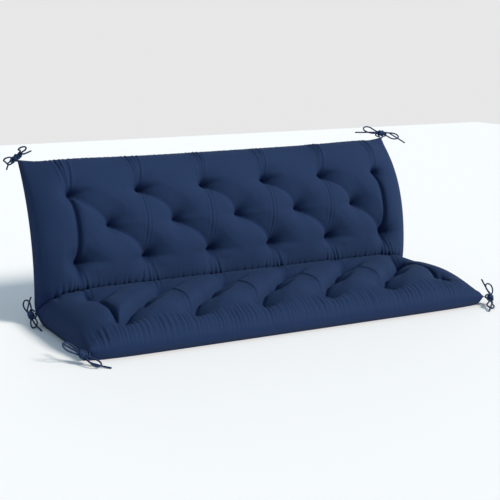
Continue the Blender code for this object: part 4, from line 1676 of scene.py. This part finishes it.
# %% The tree: one arch on every point
def stitch_tree():
    geometry = (("Geometry", "Geometry"),)
    tree, given, result = new_group(
        "sewn_stitches", "GeometryNodeTree", geometry + STITCH_SIZES, geometry
    )
    tree.is_modifier = True
    points, length, thickness, rise, unevenness, seed, thread_look = given.outputs[:7]
    sewn = tree.nodes.new("GeometryNodeInstanceOnPoints")
    tree.links.new(points, sewn.inputs["Points"])
    tree.links.new(thread_arch(tree, length, thickness, rise), sewn.inputs["Instance"])
    tree.links.new(stitch_turn(tree, unevenness, seed), sewn.inputs["Rotation"])
    real = tree.nodes.new("GeometryNodeRealizeInstances")
    tree.links.new(sewn.outputs[0], real.inputs[0])
    finish = tree.nodes.new("GeometryNodeSetMaterial")
    tree.links.new(real.outputs[0], finish.inputs["Geometry"])
    tree.links.new(thread_look, finish.inputs["Material"])
    tree.links.new(finish.outputs[0], result.inputs["Geometry"])
    return tree


sewn_stitches = stitch_tree()
print("stitch tree with", len(sewn_stitches.nodes), "nodes")

# %% Sewing on given points
SLIP_SEED = 5


def sew(name, places, ways, ups, **sizes):
    """Runs the tree on the given points and returns the stitches as a plain mesh piece."""
    base = mesh_object(name + "_points", places, [])
    for attribute, vectors in (("stitch_way", ways), ("stitch_up", ups)):
        layer = base.data.attributes.new(attribute, "FLOAT_VECTOR", "POINT")
        layer.data.foreach_set("vector", np.asarray(vectors, np.float32).ravel())
    modifier = base.modifiers.new("stitches", "NODES")
    modifier.node_group = sewn_stitches
    values = {"Seed": SLIP_SEED, "Thread Finish": navy_thread, **sizes}
    for item in sewn_stitches.interface.items_tree:
        if item.in_out == "INPUT" and item.name in values:
            modifier[item.identifier] = values[item.name]
    shown = base.evaluated_get(bpy.context.evaluated_depsgraph_get())
    mesh = bpy.data.meshes.new_from_object(shown)
    mesh.shade_smooth()
    mesh.name = name
    piece = bpy.data.objects.new(name, mesh)
    bpy.context.scene.collection.objects.link(piece)
    bpy.data.objects.remove(base, do_unlink=True)
    print(name, len(places), "stitches", len(mesh.polygons), "faces")
    return piece


# %% [markdown]
# ## Where the stitches sit
# Thread only looks sewn where it touches the cloth. The stitches could be placed from the plain
# sizes, but the settled cloth has moved. So each row reads its places from the settled grids,
# and its directions from the side view: `way` runs along the stitch, `up` leaves the cloth.

# %% Stitches along the cross seam, behind the bend
CROSS_STITCH_PITCH = 0.0042
CROSS_ROW_END = 0.735  # a little short of the end seams
CROSS_LIFT = 0.0001


def facing(t, sitter=1):
    """The direction that a face of the pad looks in at t: towards the sitter, or away."""
    turn = side_view(np.asarray(float(t)))[2]
    return sitter * np.array([0.0, -math.sin(turn), math.cos(turn)])


cross_line = under_grid[np.argmin(np.abs(rows))]
stitch_x = np.arange(-CROSS_ROW_END, CROSS_ROW_END + 0.001, CROSS_STITCH_PITCH)
behind = facing(0, -1)
places = np.stack([np.interp(stitch_x, columns, cross_line[:, k]) for k in range(3)], -1)
cross_thread = sew(
    "cross_seam_thread", places + behind * CROSS_LIFT,
    np.tile((1.0, 0.0, 0.0), (len(places), 1)), np.tile(behind, (len(places), 1)),
    **{"Stitch Length": 0.0032, "Thread Thickness": 0.0008, "Rise": 0.0005, "Unevenness": 0.06},
)

# %% Three bars of thread on each tuft
BAR_SPACING, BAR_LIFT = 0.0013, 0.0012
SHORT_STEP = 0.001  # a step along the pattern that gives the direction there
NO_BARS_BELOW = 0.002  # pressed flat against what the seat rests on
places, ways, ups = [], [], []
for tuft_x, tuft_t in TUFTS:
    step_up = np.subtract(side_view(tuft_t + SHORT_STEP)[:2], side_view(tuft_t)[:2])
    upright = np.array([0.0, *step_up]) / SHORT_STEP
    j, i = np.argmin(np.abs(rows - tuft_t)), np.argmin(np.abs(columns - tuft_x))
    for point, sitter in ((fine_top[j * ALONG_PARTS, i * ACROSS_PARTS], 1), (under_grid[j, i], -1)):
        up = facing(tuft_t, sitter)
        if point[2] >= NO_BARS_BELOW:
            for bar in (-1, 0, 1):
                places.append(point + up * BAR_LIFT + upright * bar * BAR_SPACING)
                ways.append((1.0, 0.0, 0.0))
                ups.append(up)
tuft_thread = sew(
    "tuft_thread", places, ways, ups,
    **{"Stitch Length": 0.009, "Thread Thickness": 0.0013, "Rise": 0.0006, "Unevenness": 0.15},
)

# %% Tacks round the root of each strand
TACKED_POINTS = (2, 3, 4)  # of the strand's path
ACROSS_TACK = (0.2, 0.3, 0.9)  # along no strand
TACK_LENGTH, TACK_RISE = 1.08, 0.56  # in diameters of the tie
places, ways, ups = [], [], []
for bow, name, piece, path in ties:
    for index in TACKED_POINTS:
        ahead = path[index + 1] - path[index - 1]
        ahead = ahead / np.linalg.norm(ahead)
        side = np.cross(ahead, ACROSS_TACK)
        side /= np.linalg.norm(side)
        for way in (1, -1):
            places.append(path[index])
            ways.append(side)
            ups.append(np.cross(side, ahead) * way)
tack_thread = sew(
    "tie_tack_thread", places, ways, ups,
    **{
        "Stitch Length": TIE_DIAMETER * TACK_LENGTH, "Thread Thickness": 0.0007,
        "Rise": TIE_DIAMETER * TACK_RISE, "Unevenness": 0.08,
    },
)

# %% [markdown]
# ## Light and floor
# The cushion was photographed in a white room, with one broad light from above and the right
# and no hard shadow. Area lights could be hung all round, but each leaves an edge of its own.
# A pale sky lights everything evenly, and two soft suns give the folds their sides: a warm one
# from the front right and a weak one for the back. The camera sees pure white behind the
# cushion, because the sky's own blue would tint the picture.

# %% The white room
SKY_COLOUR, SKY_STRENGTH = (0.66, 0.84, 1, 1), 0.5
SEEN_STRENGTH = 1.0
scene = bpy.context.scene
scene.view_settings.view_transform = "Standard"
world = bpy.data.worlds.new("studio")
world.use_nodes = True
scene.world = world
nodes, links = world.node_tree.nodes, world.node_tree.links
background = nodes["Background"]
background.inputs["Color"].default_value = SKY_COLOUR
background.inputs["Strength"].default_value = SKY_STRENGTH
seen = nodes.new("ShaderNodeBackground")
seen.inputs["Strength"].default_value = SEEN_STRENGTH
pick = nodes.new("ShaderNodeMixShader")
ray = nodes.new("ShaderNodeLightPath")
links.new(ray.outputs["Is Camera Ray"], pick.inputs[0])
links.new(background.outputs[0], pick.inputs[1])
links.new(seen.outputs[0], pick.inputs[2])
links.new(pick.outputs[0], nodes["World Output"].inputs["Surface"])
print("sky of strength", SKY_STRENGTH)


# %% Two soft suns
def soft_sun(name, towards, energy, degrees, colour=(1.0, 1.0, 1.0)):
    """A sun in the direction towards; degrees is how wide, and so how soft, it is."""
    light = bpy.data.lights.new(name, "SUN")
    light.angle = math.radians(degrees)
    light.energy = energy
    light.color = colour
    lamp = bpy.data.objects.new(name, light)
    lamp.rotation_euler = Vector(towards).to_track_quat("Z", "Y").to_euler()
    scene.collection.objects.link(lamp)
    return lamp


key = soft_sun("key", (0.58, -0.66, 0.58), energy=3.8, degrees=15, colour=(1.0, 0.93, 0.84))
rear_fill = soft_sun("rear_fill", (0.30, 0.92, 0.22), energy=0.7, degrees=40)
print("suns", key.name, rear_fill.name)

# %% Floor
FLOOR_REACH, FLOOR_BELOW = 6, 0.0005  # just under the cushion, so that the two don't flicker
FLOOR_COLOUR, FLOOR_ROUGHNESS = (0.9, 0.9, 0.9, 1), 0.9
square = ((-1, -1), (1, -1), (1, 1), (-1, 1))
floor_points = [(x * FLOOR_REACH, y * FLOOR_REACH, -FLOOR_BELOW) for x, y in square]
floor_mesh = bpy.data.meshes.new("floor")
floor_mesh.from_pydata(floor_points, [], [(0, 1, 2, 3)])
floor = bpy.data.objects.new("floor", floor_mesh)
scene.collection.objects.link(floor)
floor_finish, _, floor_shader = new_finish("floor_look")
floor_shader.inputs["Base Color"].default_value = FLOOR_COLOUR
floor_shader.inputs["Roughness"].default_value = FLOOR_ROUGHNESS
floor.data.materials.append(floor_finish)
print("floor", 2 * FLOOR_REACH, "m square")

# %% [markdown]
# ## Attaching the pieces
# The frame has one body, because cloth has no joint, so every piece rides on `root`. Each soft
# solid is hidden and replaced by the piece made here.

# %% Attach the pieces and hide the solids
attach(cushion, "root")
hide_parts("cushion")
for piece in (cross_thread, tuft_thread, tack_thread):
    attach(piece, "root")
for piece_name, piece in knots.items():
    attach(piece, "root")
    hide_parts("knot_" + piece_name)
for bow, name, piece, path in ties:
    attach(piece, "root")
    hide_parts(name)
